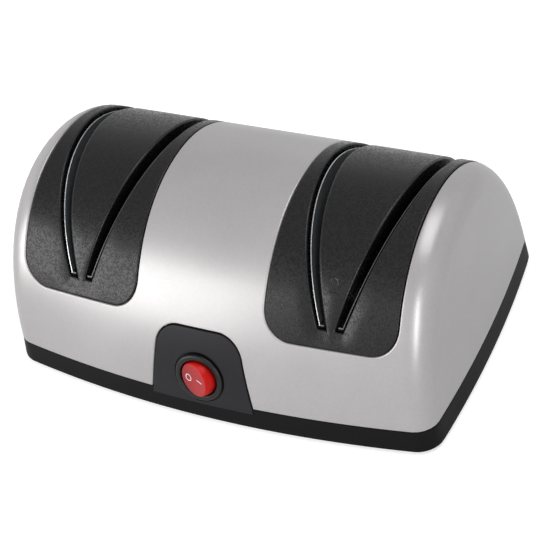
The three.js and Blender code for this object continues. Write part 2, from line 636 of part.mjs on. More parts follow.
// Rocker, level, with its pivot at the origin of its own frame and +Z out of the face
function rocker() {
  const ball = solid(new THREE.SphereGeometry(ROCKER_R, SEGMENTS, SEGMENTS / 2));
  const rim = Math.sqrt(ROCKER_R ** 2 - ROCKER_FACE ** 2);
  const hollow = (rim ** 2 + ROCKER_DISH ** 2) / (2 * ROCKER_DISH);
  const dish = new THREE.CylinderGeometry(hollow, hollow, 2 * ROCKER_R, 2 * SEGMENTS);
  dish.rotateY(Math.PI / SEGMENTS / 2);
  dish.translate(0, 0, ROCKER_FACE - ROCKER_DISH + hollow);
  const slab = block([-ROCKER_R, -ROCKER_R, -ROCKER_BACK], [ROCKER_R, ROCKER_R, ROCKER_FACE]);
  const pins = new THREE.CylinderGeometry(PIN_R, PIN_R, 2 * (ROCKER_R + PIN_REACH), FEW_SEGMENTS);
  return join(cut(ball.intersect(slab), solid(dish)), solid(pins));
}

// End bell of the motor: ring in the can, plate over it and a boss with the shaft's bore
function endBell(side) {
  const bore = SHAFT_R + BORE_CLEAR;
  const boss = bore + BELL_BOSS;
  const outer = MOTOR_R - MOTOR_WALL - GAP;
  const plate = MOTOR_HALF + GAP;
  const points = [
    [plate - GAP, bore],
    [plate - GAP, outer - BELL_RING],
    [plate - BELL_SPIGOT, outer - BELL_RING],
    [plate - BELL_SPIGOT, outer],
    [plate, outer],
    [plate, MOTOR_R],
    [plate + BELL_PLATE, MOTOR_R],
    [plate + BELL_PLATE, boss],
    [plate + BELL_PLATE + BELL_BOSS, boss],
    [plate + BELL_PLATE + BELL_BOSS, bore]];
  const mirrored = points.map(([along, radius]) => [-along, radius]).reverse();
  return turned(side > 0 ? points : mirrored, FEW_SEGMENTS);
}

// Arc magnet inside the can, in front of the rotor or behind it
function magnet(side) {
  const outer = MOTOR_R - MOTOR_WALL - GAP;
  const middle = side > 0 ? 0 : Math.PI;
  const shape = new THREE.Shape();
  shape.absarc(0, 0, outer, middle - MAGNET_ANGLE, middle + MAGNET_ANGLE);
  shape.absarc(0, 0, MAGNET_IN, middle + MAGNET_ANGLE, middle - MAGNET_ANGLE, true);
  const body = new THREE.ExtrudeGeometry(shape, {
    depth: 2 * MAGNET_HALF, bevelEnabled: false, curveSegments: 8 });
  body.rotateX(Math.PI / 2);
  body.rotateZ(Math.PI / 2);
  body.translate(-MAGNET_HALF, AXIS_Y, AXIS_Z);
  return solid(body);
}

// Laminated rotor with winding slots
function rotorCore() {
  let core = ring(-ROTOR_HALF, ROTOR_HALF, SHAFT_R + GAP, ROTOR_R);
  for (let index = 0; index < ROTOR_SLOTS; index++) {
    const slot = new THREE.BoxGeometry(2 * ROTOR_HALF + OVERRUN, ROTOR_SLOT_WIDTH,
      2 * (ROTOR_R - ROTOR_HUB_R));
    slot.translate(0, 0, ROTOR_R);
    slot.rotateX(2 * Math.PI * index / ROTOR_SLOTS);
    slot.translate(0, AXIS_Y, AXIS_Z);
    core = core.subtract(solid(slot));
  }
  return core;
}

// Strap over the motor can, with a foot on each side of the saddle
function strap(side) {
  const inner = MOTOR_R + GAP;
  const outer = inner + STRAP_SHEET;
  const x0 = side * SADDLE_X - SADDLE_WIDTH / 2;
  const x1 = side * SADDLE_X + SADDLE_WIDTH / 2;
  const reach = inner + SADDLE_SIDE;
  const sole = AXIS_Z + GAP;
  const arch = ring(x0, x1, inner, outer).intersect(
    block([x0 - GAP, AXIS_Y - reach, sole], [x1 + GAP, AXIS_Y + reach, AXIS_Z + reach]));
  let body = arch;
  for (const hand of [-1, 1]) {
    const from = AXIS_Y + hand * (inner + GAP);
    const to = AXIS_Y + hand * reach;
    body = join(body, block([x0, Math.min(from, to), sole], [x1, Math.max(from, to), sole + STRAP_SHEET]));
  }
  for (const [x, y] of strapScrews) {
    body = cut(body, bar(STRAP_SCREW_R + GAP, x, y, AXIS_Z, AXIS_Z + reach, FEW_SEGMENTS));
  }
  return body;
}

// Screw that stands with its head at one end of its shank
function screw(x, y, z, headR, head, shankR, length, up) {
  const points = [[0, 0], [headR, 0], [headR, head], [shankR, head], [shankR, length], [0, length]];
  const profile = points.map(([radius, along]) => new THREE.Vector2(radius, along));
  const lathe = new THREE.LatheGeometry(profile, FEW_SEGMENTS);
  lathe.rotateX(up ? Math.PI / 2 : -Math.PI / 2);
  lathe.translate(x, y, z);
  return solid(lathe);
}

// Materials
const paint = (color, roughness, metalness) => new THREE.MeshStandardMaterial({ color, roughness, metalness });
const silver = paint('#b4b3b3', 0.35, 0.6);
const charcoal = paint('#2d2d31', 0.5, 0);
const grained = paint('#363535', 0.7, 0);
const stainless = paint('#9da0a3', 0.25, 1);
const red = paint('#c8191a', 0.2, 0);
const gloss = paint('#18181a', 0.3, 0);
const zinc = paint('#8f9296', 0.4, 0.9);
const iron = paint('#4a4745', 0.6, 0.7);
const ferrite = paint('#2a2a2c', 0.7, 0);
const copper = paint('#b06c40', 0.35, 1);
const carbon = paint('#1f1f20', 0.8, 0);
const bronze = paint('#a3804f', 0.5, 0.9);
const coarse = paint('#8a7f74', 0.9, 0);
const fine = paint('#c9c4bb', 0.9, 0);
const nylon = paint('#d8d5cc', 0.6, 0);
const rubber = paint('#1a1a1a', 0.9, 0);

const sharpener = new THREE.Group();
const fixed = new THREE.Group();
const turning = new THREE.Group();
sharpener.add(fixed, turning);

function add(group, name, shape, material) {
  const mesh = new THREE.Mesh(surface(shape), material);
  mesh.name = name;
  group.add(mesh);
  return mesh;
}

// Place a piece modelled in the object's frame by the middle of its own box
function centred(mesh) {
  mesh.geometry.computeBoundingBox();
  const middle = mesh.geometry.boundingBox.getCenter(new THREE.Vector3());
  mesh.geometry.translate(-middle.x, -middle.y, -middle.z);
  mesh.position.copy(middle);
  return mesh;
}

add(fixed, 'tray', tray(), charcoal);
add(fixed, 'housing', housing(), silver);
for (const [side, stage] of [[-1, 'left'], [1, 'right']]) {
  const middle = side * MODULE_X;
  add(fixed, `${stage}_guide_module`, guideModule(side), grained);
  const abrasive = side < 0 ? coarse : fine;
  for (const [hand, place] of [[-1, 'left'], [1, 'right']]) {
    centred(add(fixed, `${stage}_guide_${place}_spring`, guideSpring(side, hand), stainless));
    const face = middle + hand * DISC_FACE;
    const back = face - hand * DISC_WIDTH;
    const collar = face + hand * GAP;
    const disc = ring(Math.min(face, back), Math.max(face, back), SHAFT_R + GAP, DISC_R);
    centred(add(turning, `${stage}_stage_${place}_disc`, disc, abrasive));
    const clamp = ring(Math.min(collar, collar + hand * COLLAR_WIDTH),
      Math.max(collar, collar + hand * COLLAR_WIDTH), SHAFT_R + GAP, COLLAR_R, FEW_SEGMENTS);
    centred(add(turning, `${stage}_stage_${place}_collar`, clamp, zinc));
  }
  const spacerHalf = DISC_FACE - DISC_WIDTH - GAP;
  const spacer = ring(middle - spacerHalf, middle + spacerHalf, SHAFT_R + GAP, SPACER_R, FEW_SEGMENTS);
  centred(add(turning, `${stage}_stage_spacer`, spacer, nylon));
  const bush = ring(side * POST_X - BUSH_WIDTH / 2, side * POST_X + BUSH_WIDTH / 2,
    SHAFT_R + BORE_CLEAR, BUSH_R, FEW_SEGMENTS);
  centred(add(fixed, `${stage}_bush`, bush, bronze));
  centred(add(fixed, `${stage}_end_bell`, endBell(side), zinc));
  centred(add(fixed, `${stage}_motor_strap`, strap(side), zinc));
}

const shaftHalf = POST_X + BUSH_WIDTH / 2 + SHAFT_END;
const shaftLine = [[-shaftHalf, 0], [-shaftHalf, SHAFT_R], [shaftHalf, SHAFT_R], [shaftHalf, 0]];
const shaft = turned(shaftLine, FEW_SEGMENTS);
centred(add(turning, 'shaft', shaft, zinc));
centred(add(turning, 'rotor_core', rotorCore(), iron));
const commutator = ring(COMMUTATOR_X, COMMUTATOR_X + COMMUTATOR_WIDTH,
  SHAFT_R + GAP, COMMUTATOR_R, FEW_SEGMENTS);
centred(add(turning, 'commutator', commutator, copper));
const can = ring(-MOTOR_HALF, MOTOR_HALF, MOTOR_R - MOTOR_WALL, MOTOR_R);
centred(add(fixed, 'motor_can', can, zinc));
const brushX = COMMUTATOR_X + COMMUTATOR_WIDTH / 2;
const brushEnd = MOTOR_R - MOTOR_WALL - BELL_RING - 3 * GAP;
for (const [hand, place] of [[-1, 'front'], [1, 'back']]) {
  centred(add(fixed, `${place}_magnet`, magnet(hand), ferrite));
  const near = AXIS_Y + hand * (COMMUTATOR_R + GAP);
  const far = AXIS_Y + hand * brushEnd;
  const brush = block([brushX - BRUSH_SIDE / 2, Math.min(near, far), AXIS_Z - BRUSH_SIDE / 2],
    [brushX + BRUSH_SIDE / 2, Math.max(near, far), AXIS_Z + BRUSH_SIDE / 2]);
  centred(add(fixed, `${place}_brush`, brush, carbon));
}

// Switch: its group stands on the seat, and the rocker turns about its pivot in that group
add(fixed, 'switch_body', switchBody(), gloss);
const seat = new THREE.Group();
seat.position.set(0, -SWITCH_SEAT, SWITCH_Z);
seat.rotation.x = Math.PI / 2 - SWITCH_TILT;
fixed.add(seat);
const button = add(seat, 'switch_rocker', rocker(), red);
button.position.z = ROCKER_PIVOT;
button.rotation.y = -ROCKER_REST;
for (const [hand, place] of [[-1, 'left'], [1, 'right']]) {
  const blade = new THREE.BoxGeometry(TERMINAL_SHEET, TERMINAL_WIDTH, TERMINAL_LENGTH);
  const terminal = add(seat, `${place}_switch_terminal`, solid(blade), copper);
  terminal.position.set(hand * TERMINAL_X, 0, -BARREL_DEPTH - TERMINAL_LENGTH / 2);
}

const corners = ['left_front', 'left_back', 'right_front', 'right_back'];
corners.forEach((corner, index) => {
  const [bossX, bossY] = bosses[index];
  centred(add(fixed, `${corner}_housing_screw`, screw(bossX, bossY, FOOT_PROUD,
    SCREW_HEAD_R, SCREW_HEAD, SCREW_R, SCREW_LENGTH, true), zinc));
  const [strapX, strapY] = strapScrews[index];
  const headTop = AXIS_Z + 2 * GAP + STRAP_SHEET + STRAP_SCREW_HEAD;
  centred(add(fixed, `${corner}_strap_screw`, screw(strapX, strapY, headTop, STRAP_SCREW_HEAD_R,
    STRAP_SCREW_HEAD, STRAP_SCREW_R, STRAP_SCREW_LENGTH, false), zinc));
  const [footX, footY] = feet[index];
  const foot = bar(FOOT_R, footX, footY, 0, FOOT_PROUD + FOOT_SEAT - GAP, FEW_SEGMENTS);
  centred(add(fixed, `${corner}_foot`, foot, rubber));
});

sharpener.position.y = -MIDDLE_Y;

export default sharpener;
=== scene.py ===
import math
import bpy
import numpy as np
from mathutils import Matrix, Vector
from mathutils.geometry import delaunay_2d_cdt


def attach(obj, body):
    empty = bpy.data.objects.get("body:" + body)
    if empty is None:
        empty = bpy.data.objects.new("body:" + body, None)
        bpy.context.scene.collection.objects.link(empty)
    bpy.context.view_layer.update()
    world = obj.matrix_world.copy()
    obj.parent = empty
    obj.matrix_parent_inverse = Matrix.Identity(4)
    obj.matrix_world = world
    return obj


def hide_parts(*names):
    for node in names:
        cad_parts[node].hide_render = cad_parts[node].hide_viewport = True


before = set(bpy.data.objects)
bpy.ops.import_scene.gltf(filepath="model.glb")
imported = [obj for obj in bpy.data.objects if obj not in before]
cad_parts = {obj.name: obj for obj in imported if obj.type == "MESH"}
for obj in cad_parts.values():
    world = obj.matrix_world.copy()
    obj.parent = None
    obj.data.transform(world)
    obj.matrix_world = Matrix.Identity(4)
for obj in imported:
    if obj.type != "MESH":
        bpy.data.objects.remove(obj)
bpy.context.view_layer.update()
mm = 0.001
middleY = 5.61  # the solids stand this far behind the skin's own origin, in mm

# The camera, fitted to the photo together with the body: angles in degrees, lengths in mm.
cameraView = {"azimuth": 34.432, "elevation": 39.868, "roll": -12.532, "distance": 722.08,
              "target": (5.74, -middleY, 32.17), "focalPixels": 1694.7, "imagePixels": 540, "sensor": 36,
              "farthest": 20000}


def makeCamera(view):
    az, el, roll = (math.radians(view[key]) for key in ("azimuth", "elevation", "roll"))
    back = Vector((math.sin(az) * math.cos(el), -math.cos(az) * math.cos(el), math.sin(el)))
    right = Vector((math.cos(az), math.sin(az), 0))
    up = back.cross(right)
    turnedRight = math.cos(roll) * right + math.sin(roll) * up
    turnedUp = -math.sin(roll) * right + math.cos(roll) * up
    data = bpy.data.cameras.new("camera")
    data.sensor_width = view["sensor"]
    data.lens = data.sensor_width * view["focalPixels"] / view["imagePixels"]
    data.clip_end = view["farthest"] * mm
    camera = bpy.data.objects.new("camera", data)
    place = (Vector(view["target"]) + back * view["distance"]) * mm
    turn = Matrix((turnedRight, turnedUp, back)).transposed().to_4x4()
    camera.matrix_world = Matrix.Translation(place) @ turn
    bpy.context.collection.objects.link(camera)
    bpy.context.scene.camera = camera


makeCamera(cameraView)
print("camera placed")

# The same two side-view curves, bow, end faces and end roundings as the solids have, in mm.
# A point of the skin has two coordinates: u runs along the length and v from the front over the top.
body = {"partZ": 12.3, "ridgeZ": 86.3, "ridgeY": 8.1, "frontY": -51.6, "backY": 74.2,
        "frontHandle": 43.9, "frontLean": 0.027, "frontCrown": 37, "backCrown": 32.7,
        "backHandle": 44.2, "backLean": 0.147, "frontBow": 9.1, "bowFade": 1.2,
        "halfLength": 99.5, "endBow": 3.5, "endSlope": 0.03, "endConverge": 0.042,
        "roundLow": 7.5, "roundHigh": 12}
straightReach = 88  # surface coordinate where the end rounding starts
roundReach = 10  # surface length of a radian of that rounding
endReach = straightReach + roundReach * math.pi / 2
settleReach = 8  # surface length over which that rounding comes to its full drop at the parting line
curveSteps = 900  # points on each side-view curve
probe = 0.2  # the solvers feel for a slope this far to both sides
chunk = 2000  # points handled at once, which bounds the memory
rimSteps = 5  # rows of a rounded edge
roundSteps = 96  # points round the switch


def makeProfile(b):
    def curve(points):
        t = np.linspace(0, 1, curveSteps)[:, None]
        p = np.array(points, float)
        return ((1 - t) ** 3 * p[0] + 3 * t * (1 - t) ** 2 * p[1]
                + 3 * t ** 2 * (1 - t) * p[2] + t ** 3 * p[3])

    front = curve([(b["frontY"], b["partZ"]),
                   (b["frontY"] + b["frontHandle"] * b["frontLean"], b["partZ"] + b["frontHandle"]),
                   (b["ridgeY"] - b["frontCrown"], b["ridgeZ"]), (b["ridgeY"], b["ridgeZ"])])
    back = curve([(b["ridgeY"], b["ridgeZ"]), (b["ridgeY"] + b["backCrown"], b["ridgeZ"]),
                  (b["backY"] - b["backHandle"] * b["backLean"], b["partZ"] + b["backHandle"]),
                  (b["backY"], b["partZ"])])
    points = np.concatenate([front, back[1:]])
    length = np.concatenate([[0], np.cumsum(np.linalg.norm(np.diff(points, axis=0), axis=1))])
    tangent = np.gradient(points, length, axis=0)
    tangent /= np.linalg.norm(tangent, axis=1)[:, None]
    return {"length": length, "points": points, "tangent": tangent, "total": length[-1],
            "ridge": length[curveSteps - 1]}


profile = makeProfile(body)


def profileAt(v):
    inside = np.clip(v, 0, profile["total"])
    past = v - inside
    ty, tz = (np.interp(inside, profile["length"], profile["tangent"][:, k]) for k in (0, 1))
    y, z = (np.interp(inside, profile["length"], profile["points"][:, k]) for k in (0, 1))
    return y + ty * past, z + tz * past, tz, -ty


def endFaceAt(y, z):
    b = body
    middle, half = (b["frontY"] + b["backY"]) / 2, (b["backY"] - b["frontY"]) / 2
    return (b["halfLength"] - b["endSlope"] * np.maximum(z - b["partZ"], 0)
            - b["endBow"] * ((y - middle) / half) ** 2 - b["endConverge"] * (y - middle))


def skinPoint(u, v):
    b = body
    u, v = np.broadcast_arrays(np.asarray(u, float), np.asarray(v, float))
    y, z, inY, inZ = profileAt(v)
    reach = np.abs(u)
    turn = np.maximum(reach - straightReach, 0) / roundReach
    high = np.clip((z - b["partZ"]) / (b["ridgeZ"] - b["partZ"]), 0, 1)
    radius = b["roundLow"] + (b["roundHigh"] - b["roundLow"]) * high
    drop = radius * (1 - np.cos(turn))
    level = np.clip(np.minimum(v, profile["total"] - v) / settleReach, 0, 1)
    y = y + inY * drop
    z = z + inZ * drop * level
    end = endFaceAt(y, z)
    x = np.minimum(reach / straightReach, 1) * (end - radius) + radius * np.sin(turn)
    fade = np.clip((b["ridgeZ"] - z) / (b["ridgeZ"] - b["partZ"]), 0, None) ** b["bowFade"]
    bow = np.where(v < profile["ridge"], -b["frontBow"] * (1 - (x / end) ** 2) * fade, 0)
    return np.stack([np.sign(u) * x, y + bow, z], -1)


def unit(vectors, least=1e-12):
    return vectors / np.maximum(np.linalg.norm(vectors, axis=-1, keepdims=True), least)


def skinNormal(point, u, v, step=0.5):
    alongU = point(u + step, v) - point(u - step, v)
    alongV = point(u, v + step) - point(u, v - step)
    return unit(np.cross(alongU, alongV)), unit(alongU), unit(alongV)


def under(loop, depth):
    # the points that lie a depth under a loop on the skin
    u, v = loop[:, 0], loop[:, 1]
    return skinPoint(u, v) - skinNormal(skinPoint, u, v)[0] * depth


def solveU(x, v, guess=None, leastSlope=0.2, stride=5):
    # the surface coordinate whose point lies at a distance x from the middle plane
    u = np.array(x, float) if guess is None else np.array(guess, float)
    for _ in range(8):
        here = skinPoint(u, v)[..., 0]
        slope = (skinPoint(u + probe, v)[..., 0] - skinPoint(u - probe, v)[..., 0]) / (2 * probe)
        u = u + np.clip((x - here) / np.maximum(slope, leastSlope), -stride, stride)
    return u


def solveUV(x, z, front, leastSlope=0.1, stride=3, tiny=1e-9):
    # the surface coordinates of points seen from the front or from the back
    lengths, heights = profile["length"], profile["points"][:, 1]
    half = lengths <= profile["ridge"] if front else lengths >= profile["ridge"]
    order = np.argsort(heights[half])
    v = np.interp(z, heights[half][order], lengths[half][order])
    u = solveU(x, v)
    for _ in range(5):
        lift = z - skinPoint(u, v)[..., 2]
        slope = (skinPoint(u, v + probe)[..., 2] - skinPoint(u, v - probe)[..., 2]) / (2 * probe)
        steep = np.where(np.abs(slope) < leastSlope, leastSlope * np.sign(slope + tiny), slope)
        v = v + np.clip(lift / steep, -stride, stride)
        u = solveU(x, v, u)
    return np.stack([u, v], -1)


def newBuild():
    return {"points": [], "normals": [], "faces": [], "count": 0}


def addPatch(build, points, normals, faces):
    # faces turn to look the way their normals do
    faces = np.asarray(faces, int)
    corner = points[faces]
    facing = np.cross(corner[:, 1] - corner[:, 0], corner[:, 2] - corner[:, 0])
    wrong = np.einsum("ij,ij->i", facing, normals[faces].sum(axis=1)) < 0
    faces[wrong] = faces[wrong][:, ::-1]
    build["points"].append(points)
    build["normals"].append(normals)
    build["faces"].extend((faces + build["count"]).tolist())
    build["count"] += len(points)


def addRows(build, rows, normals, closed, keep=None):
    # a grid of quads through rows of points, each row closed on itself or open; keep says which points count
    rows, normals = np.asarray(rows), np.asarray(normals)
    here = np.arange(rows.shape[0] * rows.shape[1]).reshape(rows.shape[:2])
    following = np.roll(here, -1, axis=1)
    faces = np.stack([here[:-1], following[:-1], following[1:], here[1:]], -1)
    faces = (faces if closed else faces[:, :-1]).reshape(-1, 4)
    if keep is not None:
        faces = faces[keep.reshape(-1)[faces].all(axis=1)]
    addPatch(build, rows.reshape(-1, 3), normals.reshape(-1, 3), faces)


def finishBuild(build, name, material):
    points = np.concatenate(build["points"]) * mm
    points[:, 1] -= middleY * mm
    mesh = bpy.data.meshes.new(name)
    mesh.from_pydata(points.tolist(), [], build["faces"])
    mesh.polygons.foreach_set("use_smooth", [True] * len(mesh.polygons))
    mesh.normals_split_custom_set_from_vertices(unit(np.concatenate(build["normals"])).tolist())
    mesh.materials.append(material)
    thing = bpy.data.objects.new(name, mesh)
    bpy.context.collection.objects.link(thing)
    return thing


def addSecondFinish(thing, material, faces):
    thing.data.materials.append(material)
    for index in faces:
        thing.data.polygons[index].material_index = 1


def areaOf(loop):
    a, b = loop, np.roll(loop, -1, axis=0)
    return 0.5 * (a[:, 0] * b[:, 1] - b[:, 0] * a[:, 1]).sum()


def insideLoops(points, loops):
    inside = np.zeros(len(points), bool)
    for loop in loops:
        a, b = loop, np.roll(loop, -1, axis=0)
        for start in range(0, len(points), chunk):
            p = points[start:start + chunk]
            above = (a[None, :, 1] > p[:, None, 1]) != (b[None, :, 1] > p[:, None, 1])
            run = np.where(above, b[:, 1] - a[:, 1], 1)
            cross = a[None, :, 0] + (p[:, None, 1] - a[None, :, 1]) * (b[:, 0] - a[:, 0]) / run
            inside[start:start + chunk] ^= ((above & (p[:, None, 0] < cross)).sum(axis=1) % 2).astype(bool)
    return inside


def fillLoops(loops, spacing, rowShare=0.87, clearShare=0.45, tolerance=1e-6):
    # triangles between an outer loop and its holes, on a staggered grid of points clear of the loops
    low, high = loops[0].min(axis=0), loops[0].max(axis=0)
    us = np.arange(low[0] + spacing / 2, high[0], spacing)
    vs = np.arange(low[1] + spacing / 2, high[1], spacing * rowShare)
    grid = np.array([(u + (spacing / 2 if row % 2 else 0), v) for row, v in enumerate(vs) for u in us])
    grid = grid[insideLoops(grid, loops)]
    rim = np.concatenate(loops)
    near = np.empty(len(grid))
    for start in range(0, len(grid), chunk):
        part = grid[start:start + chunk]
        near[start:start + chunk] = np.sqrt(((part[:, None] - rim[None]) ** 2).sum(axis=2)).min(axis=1)
    grid = grid[near > spacing * clearShare]
    points, edges, first = [], [], 0
    for loop in loops:
        points.extend(loop.tolist())
        edges.extend((first + k, first + (k + 1) % len(loop)) for k in range(len(loop)))
        first += len(loop)
    points.extend(grid.tolist())
    made = delaunay_2d_cdt([Vector(p) for p in points], edges, [], 0, tolerance)
    flat = np.array([tuple(p) for p in made[0]])
    faces = np.array([tuple(f) for f in made[2]])
    middle = flat[faces].mean(axis=1)
    return flat, faces[insideLoops(middle, loops)]


def loopOffset(loop, closed=True, sharpest=0.6):
    # unit direction to the left of each point of a loop, stretched at corners
    def left(d):
        return unit(np.stack([-d[:, 1], d[:, 0]], -1))

    if closed:
        before, after = np.roll(loop, 1, axis=0), np.roll(loop, -1, axis=0)
    else:
        before = np.concatenate([loop[:1], loop[:-1]])
        after = np.concatenate([loop[1:], loop[-1:]])
    first, second = loop - before, after - loop
    if not closed:
        first[0], second[-1] = second[0], first[-1]
    one, two = left(first), left(second)
    both = unit(one + two)
    return both / np.clip((both * one).sum(axis=1), sharpest, 1)[:, None]


def rimRows(point, loop, inward, radii, steps, depth=None):
    # a rounded edge from the surface over into a wall of some depth; inward points into the material
    radii = np.broadcast_to(np.asarray(radii, float), (len(loop),))[:, None]
    normal, alongU, alongV = skinNormal(point, loop[:, 0], loop[:, 1])
    out = unit(-(alongU * inward[:, :1] + alongV * inward[:, 1:]))
    out = unit(out - normal * (out * normal).sum(axis=1, keepdims=True))
    rows, normals = [], []
    for step in range(steps + 1):
        angle = step / steps * math.pi / 2
        at = loop + inward * radii * (1 - math.sin(angle))
        rows.append(point(at[:, 0], at[:, 1]) - normal * radii * (1 - math.cos(angle)))
        normals.append(normal * math.cos(angle) + out * math.sin(angle))
    if depth is not None:
        rows.append(point(loop[:, 0], loop[:, 1]) - normal * depth)
        normals.append(out)
    return rows, normals


def addSkin(build, point, loops, spacing, depth=0, flip=False):
    flat, faces = fillLoops(loops, spacing)
    normal = skinNormal(point, flat[:, 0], flat[:, 1])[0]
    points = point(flat[:, 0], flat[:, 1]) - normal * depth
    addPatch(build, points, -normal if flip else normal, faces)


def spread(start, stop, spacing):
    # evenly spaced points on a straight stretch, without its last one
    start, stop = np.array(start, float), np.array(stop, float)
    count = max(int(np.linalg.norm(stop - start) / spacing), 1)
    return start + (stop - start) * (np.arange(count) / count)[:, None]


def arc(centre, radius, start, stop, count):
    angle = np.linspace(start, stop, count, endpoint=False)
    return np.stack([centre[0] + radius * np.cos(angle), centre[1] + radius * np.sin(angle)], -1)


def linear(hexColour):
    # sRGB hex to the linear colour that shaders take
    parts = [int(hexColour[k:k + 2], 16) / 255 for k in (1, 3, 5)]
    return tuple(p / 12.92 if p <= 0.04045 else ((p + 0.055) / 1.055) ** 2.4 for p in parts) + (1,)


def feed(node, sources):
    # what goes into a node's sockets: another node, a socket of one, or a value
    for name, source in sources.items():
        if isinstance(source, bpy.types.Node):
            source = source.outputs[0]
        if isinstance(source, bpy.types.NodeSocket):
            node.id_data.links.new(source, node.inputs[name])
        else:
            node.inputs[name].default_value = source


def addNode(tree, kind, sources, **settings):
    # one node with its settings and links; stops are the places and hex colours of a ramp
    node = tree.nodes.new("ShaderNode" + kind)
    for key, value in settings.items():
        if key != "stops":
            setattr(node, key, value)
            continue
        for element, (at, colour) in zip(node.color_ramp.elements, value):
            element.position, element.color = at, linear(colour)
    feed(node, sources)
    return node


def newMaterial(name, shaderValues):
    material = bpy.data.materials.new(name)
    material.use_nodes = True
    tree = material.node_tree
    shader = tree.nodes["Principled BSDF"]
    feed(shader, shaderValues)
    return material, tree, shader, addNode(tree, "TexCoord", {}).outputs["Object"]


def silverPaint(look):
    # metallic lacquer sprayed on moulded ABS: soft, broad highlights over a very fine flake
    material, tree, shader, place = newMaterial(look["name"], {
        "Metallic": look["metallic"], "IOR": 1.5, "Specular IOR Level": 0.5,
        "Coat Weight": look["coat"], "Coat Roughness": 0.12})
    # the real flake is about three times finer, and is drawn coarser so that it shows
    flake = addNode(tree, "TexVoronoi", {"Vector": place, "Scale": 1 / (look["flake"] * mm)}, feature="F1")
    cloud = addNode(tree, "TexNoise", {"Vector": place, "Scale": 1 / (look["cloud"] * mm), "Detail": 3.0})
    shade = addNode(tree, "SeparateColor", {"Color": flake.outputs["Color"]})
    tone = addNode(tree, "Mix", {"Factor": 0.25, "A": cloud, "B": shade}, data_type="FLOAT")
    colour = addNode(tree, "ValToRGB", {"Fac": tone}, stops=[(0.25, look["dark"]), (0.75, look["light"])])
    rough = addNode(tree, "MapRange", {"Value": cloud, "To Min": look["roughness"] - look["wear"],
                                       "To Max": look["roughness"] + look["wear"]})
    peel = addNode(tree, "TexNoise", {"Vector": place, "Scale": 1 / (look["orange"] * mm), "Detail": 2.0})
    bump = addNode(tree, "Bump", {"Height": peel, "Strength": look["peel"], "Distance": 0.02 * mm})
    feed(shader, {"Base Color": colour, "Roughness": rough, "Normal": bump})
    return material


def moulded(look):
    # plastic from a spark-eroded mould, or pressed powder: a fine pebbled grain that scatters the light
    material, tree, shader, place = newMaterial(look["name"], {
        "Metallic": 0.0, "IOR": 1.54, "Specular IOR Level": look.get("gleam", 0.5)})
    finest = 1 / (look["grain"] * mm)
    grain = addNode(tree, "TexNoise", {"Vector": place, "Scale": finest, "Detail": 3.0, "Roughness": 0.6})
    soft = addNode(tree, "TexNoise", {"Vector": place, "Scale": 1 / (22 * mm), "Detail": 2.0})
    colour = addNode(tree, "ValToRGB", {"Fac": grain}, stops=[(0.35, look["dark"]), (0.68, look["light"])])
    # each pebble of the grain is as smooth as its spark left it
    speckle = look.get("speckle", 0.02)
    pebbles = addNode(tree, "TexVoronoi", {"Vector": place, "Scale": finest})
    rough = addNode(tree, "MapRange", {
        "Value": pebbles.outputs["Color"], "From Min": 0.25, "From Max": 0.75,
        "To Min": look["roughness"] - speckle, "To Max": look["roughness"] + speckle})
    worn = addNode(tree, "MapRange", {"Value": soft, "To Min": -0.04, "To Max": 0.04})
    total = addNode(tree, "Math", {0: rough, 1: worn}, operation="ADD")
    bump = addNode(tree, "Bump", {"Height": grain, "Strength": look["bump"],
                                  "Distance": look.get("depth", 0.05) * mm})
    feed(shader, {"Base Color": colour, "Roughness": total, "Normal": bump})
    return material


def brushedMetal(look):
    # metal with fine lines along one direction, which stretch its highlights across them
    material, tree, shader, place = newMaterial(look["name"], {"Metallic": look.get("metallic", 1.0)})
    stretch = addNode(tree, "Mapping", {"Vector": place, "Scale": look["lines"]})
    lines = addNode(tree, "TexNoise", {"Vector": stretch, "Scale": 1 / (0.6 * mm), "Detail": 3.0})
    colour = addNode(tree, "ValToRGB", {"Fac": lines}, stops=[(0.3, look["dark"]), (0.7, look["light"])])
    rough = addNode(tree, "MapRange", {"Value": lines, "To Min": look["roughness"] - 0.06,
                                       "To Max": look["roughness"] + 0.06})
    feed(shader, {"Base Color": colour, "Roughness": rough})
    return material


def grit(look):
    # abrasive grain bonded in resin: hard pale points over a darker bond
    material, tree, shader, place = newMaterial(look["name"], {"Metallic": 0.0, "IOR": 1.6, "Roughness": 0.85})
    points = addNode(tree, "TexVoronoi", {"Vector": place, "Scale": 1 / (look["grit"] * mm)}, feature="F1")
    colour = addNode(tree, "ValToRGB", {"Fac": points}, stops=[(0.1, look["light"]), (0.6, look["dark"])])
    bump = addNode(tree, "Bump", {"Height": points, "Strength": 0.8, "Distance": 0.08 * mm}, invert=True)
    feed(shader, {"Base Color": colour, "Normal": bump})
    return material


def glossyPolycarbonate(look):
    # tinted polycarbonate from a polished mould: a deep colour that light soaks into, under a soft gloss
    material, tree, shader, place = newMaterial(look["name"], {
        "Metallic": 0.0, "IOR": 1.58, "Roughness": look["roughness"], "Specular IOR Level": look["gleam"],
        "Subsurface Weight": look["glow"], "Subsurface Scale": 2 * mm, "Subsurface Radius": (1.0, 0.15, 0.1)})
    cloud = addNode(tree, "TexNoise", {"Vector": place, "Scale": 1 / (9 * mm), "Detail": 1.0})
    colour = addNode(tree, "ValToRGB", {"Fac": cloud}, stops=[(0.35, look["dark"]), (0.65, look["light"])])
    # painted shade: the colour darkens towards the well, where the well shades the flank and no light comes
    # through from behind
    height = addNode(tree, "VectorMath", {0: place, 1: look["outward"]}, operation="DOT_PRODUCT")
    clear = addNode(tree, "MapRange", {
        "Value": height.outputs["Value"], "From Min": look["fullShadeAt"] * mm, "From Max": look["noShadeAt"] * mm,
        "To Min": look["least"], "To Max": 1.0}, interpolation_type="SMOOTHSTEP")
    feed(shader, {"Base Color": addNode(tree, "VectorMath", {0: colour, "Scale": clear}, operation="SCALE")})
    return material


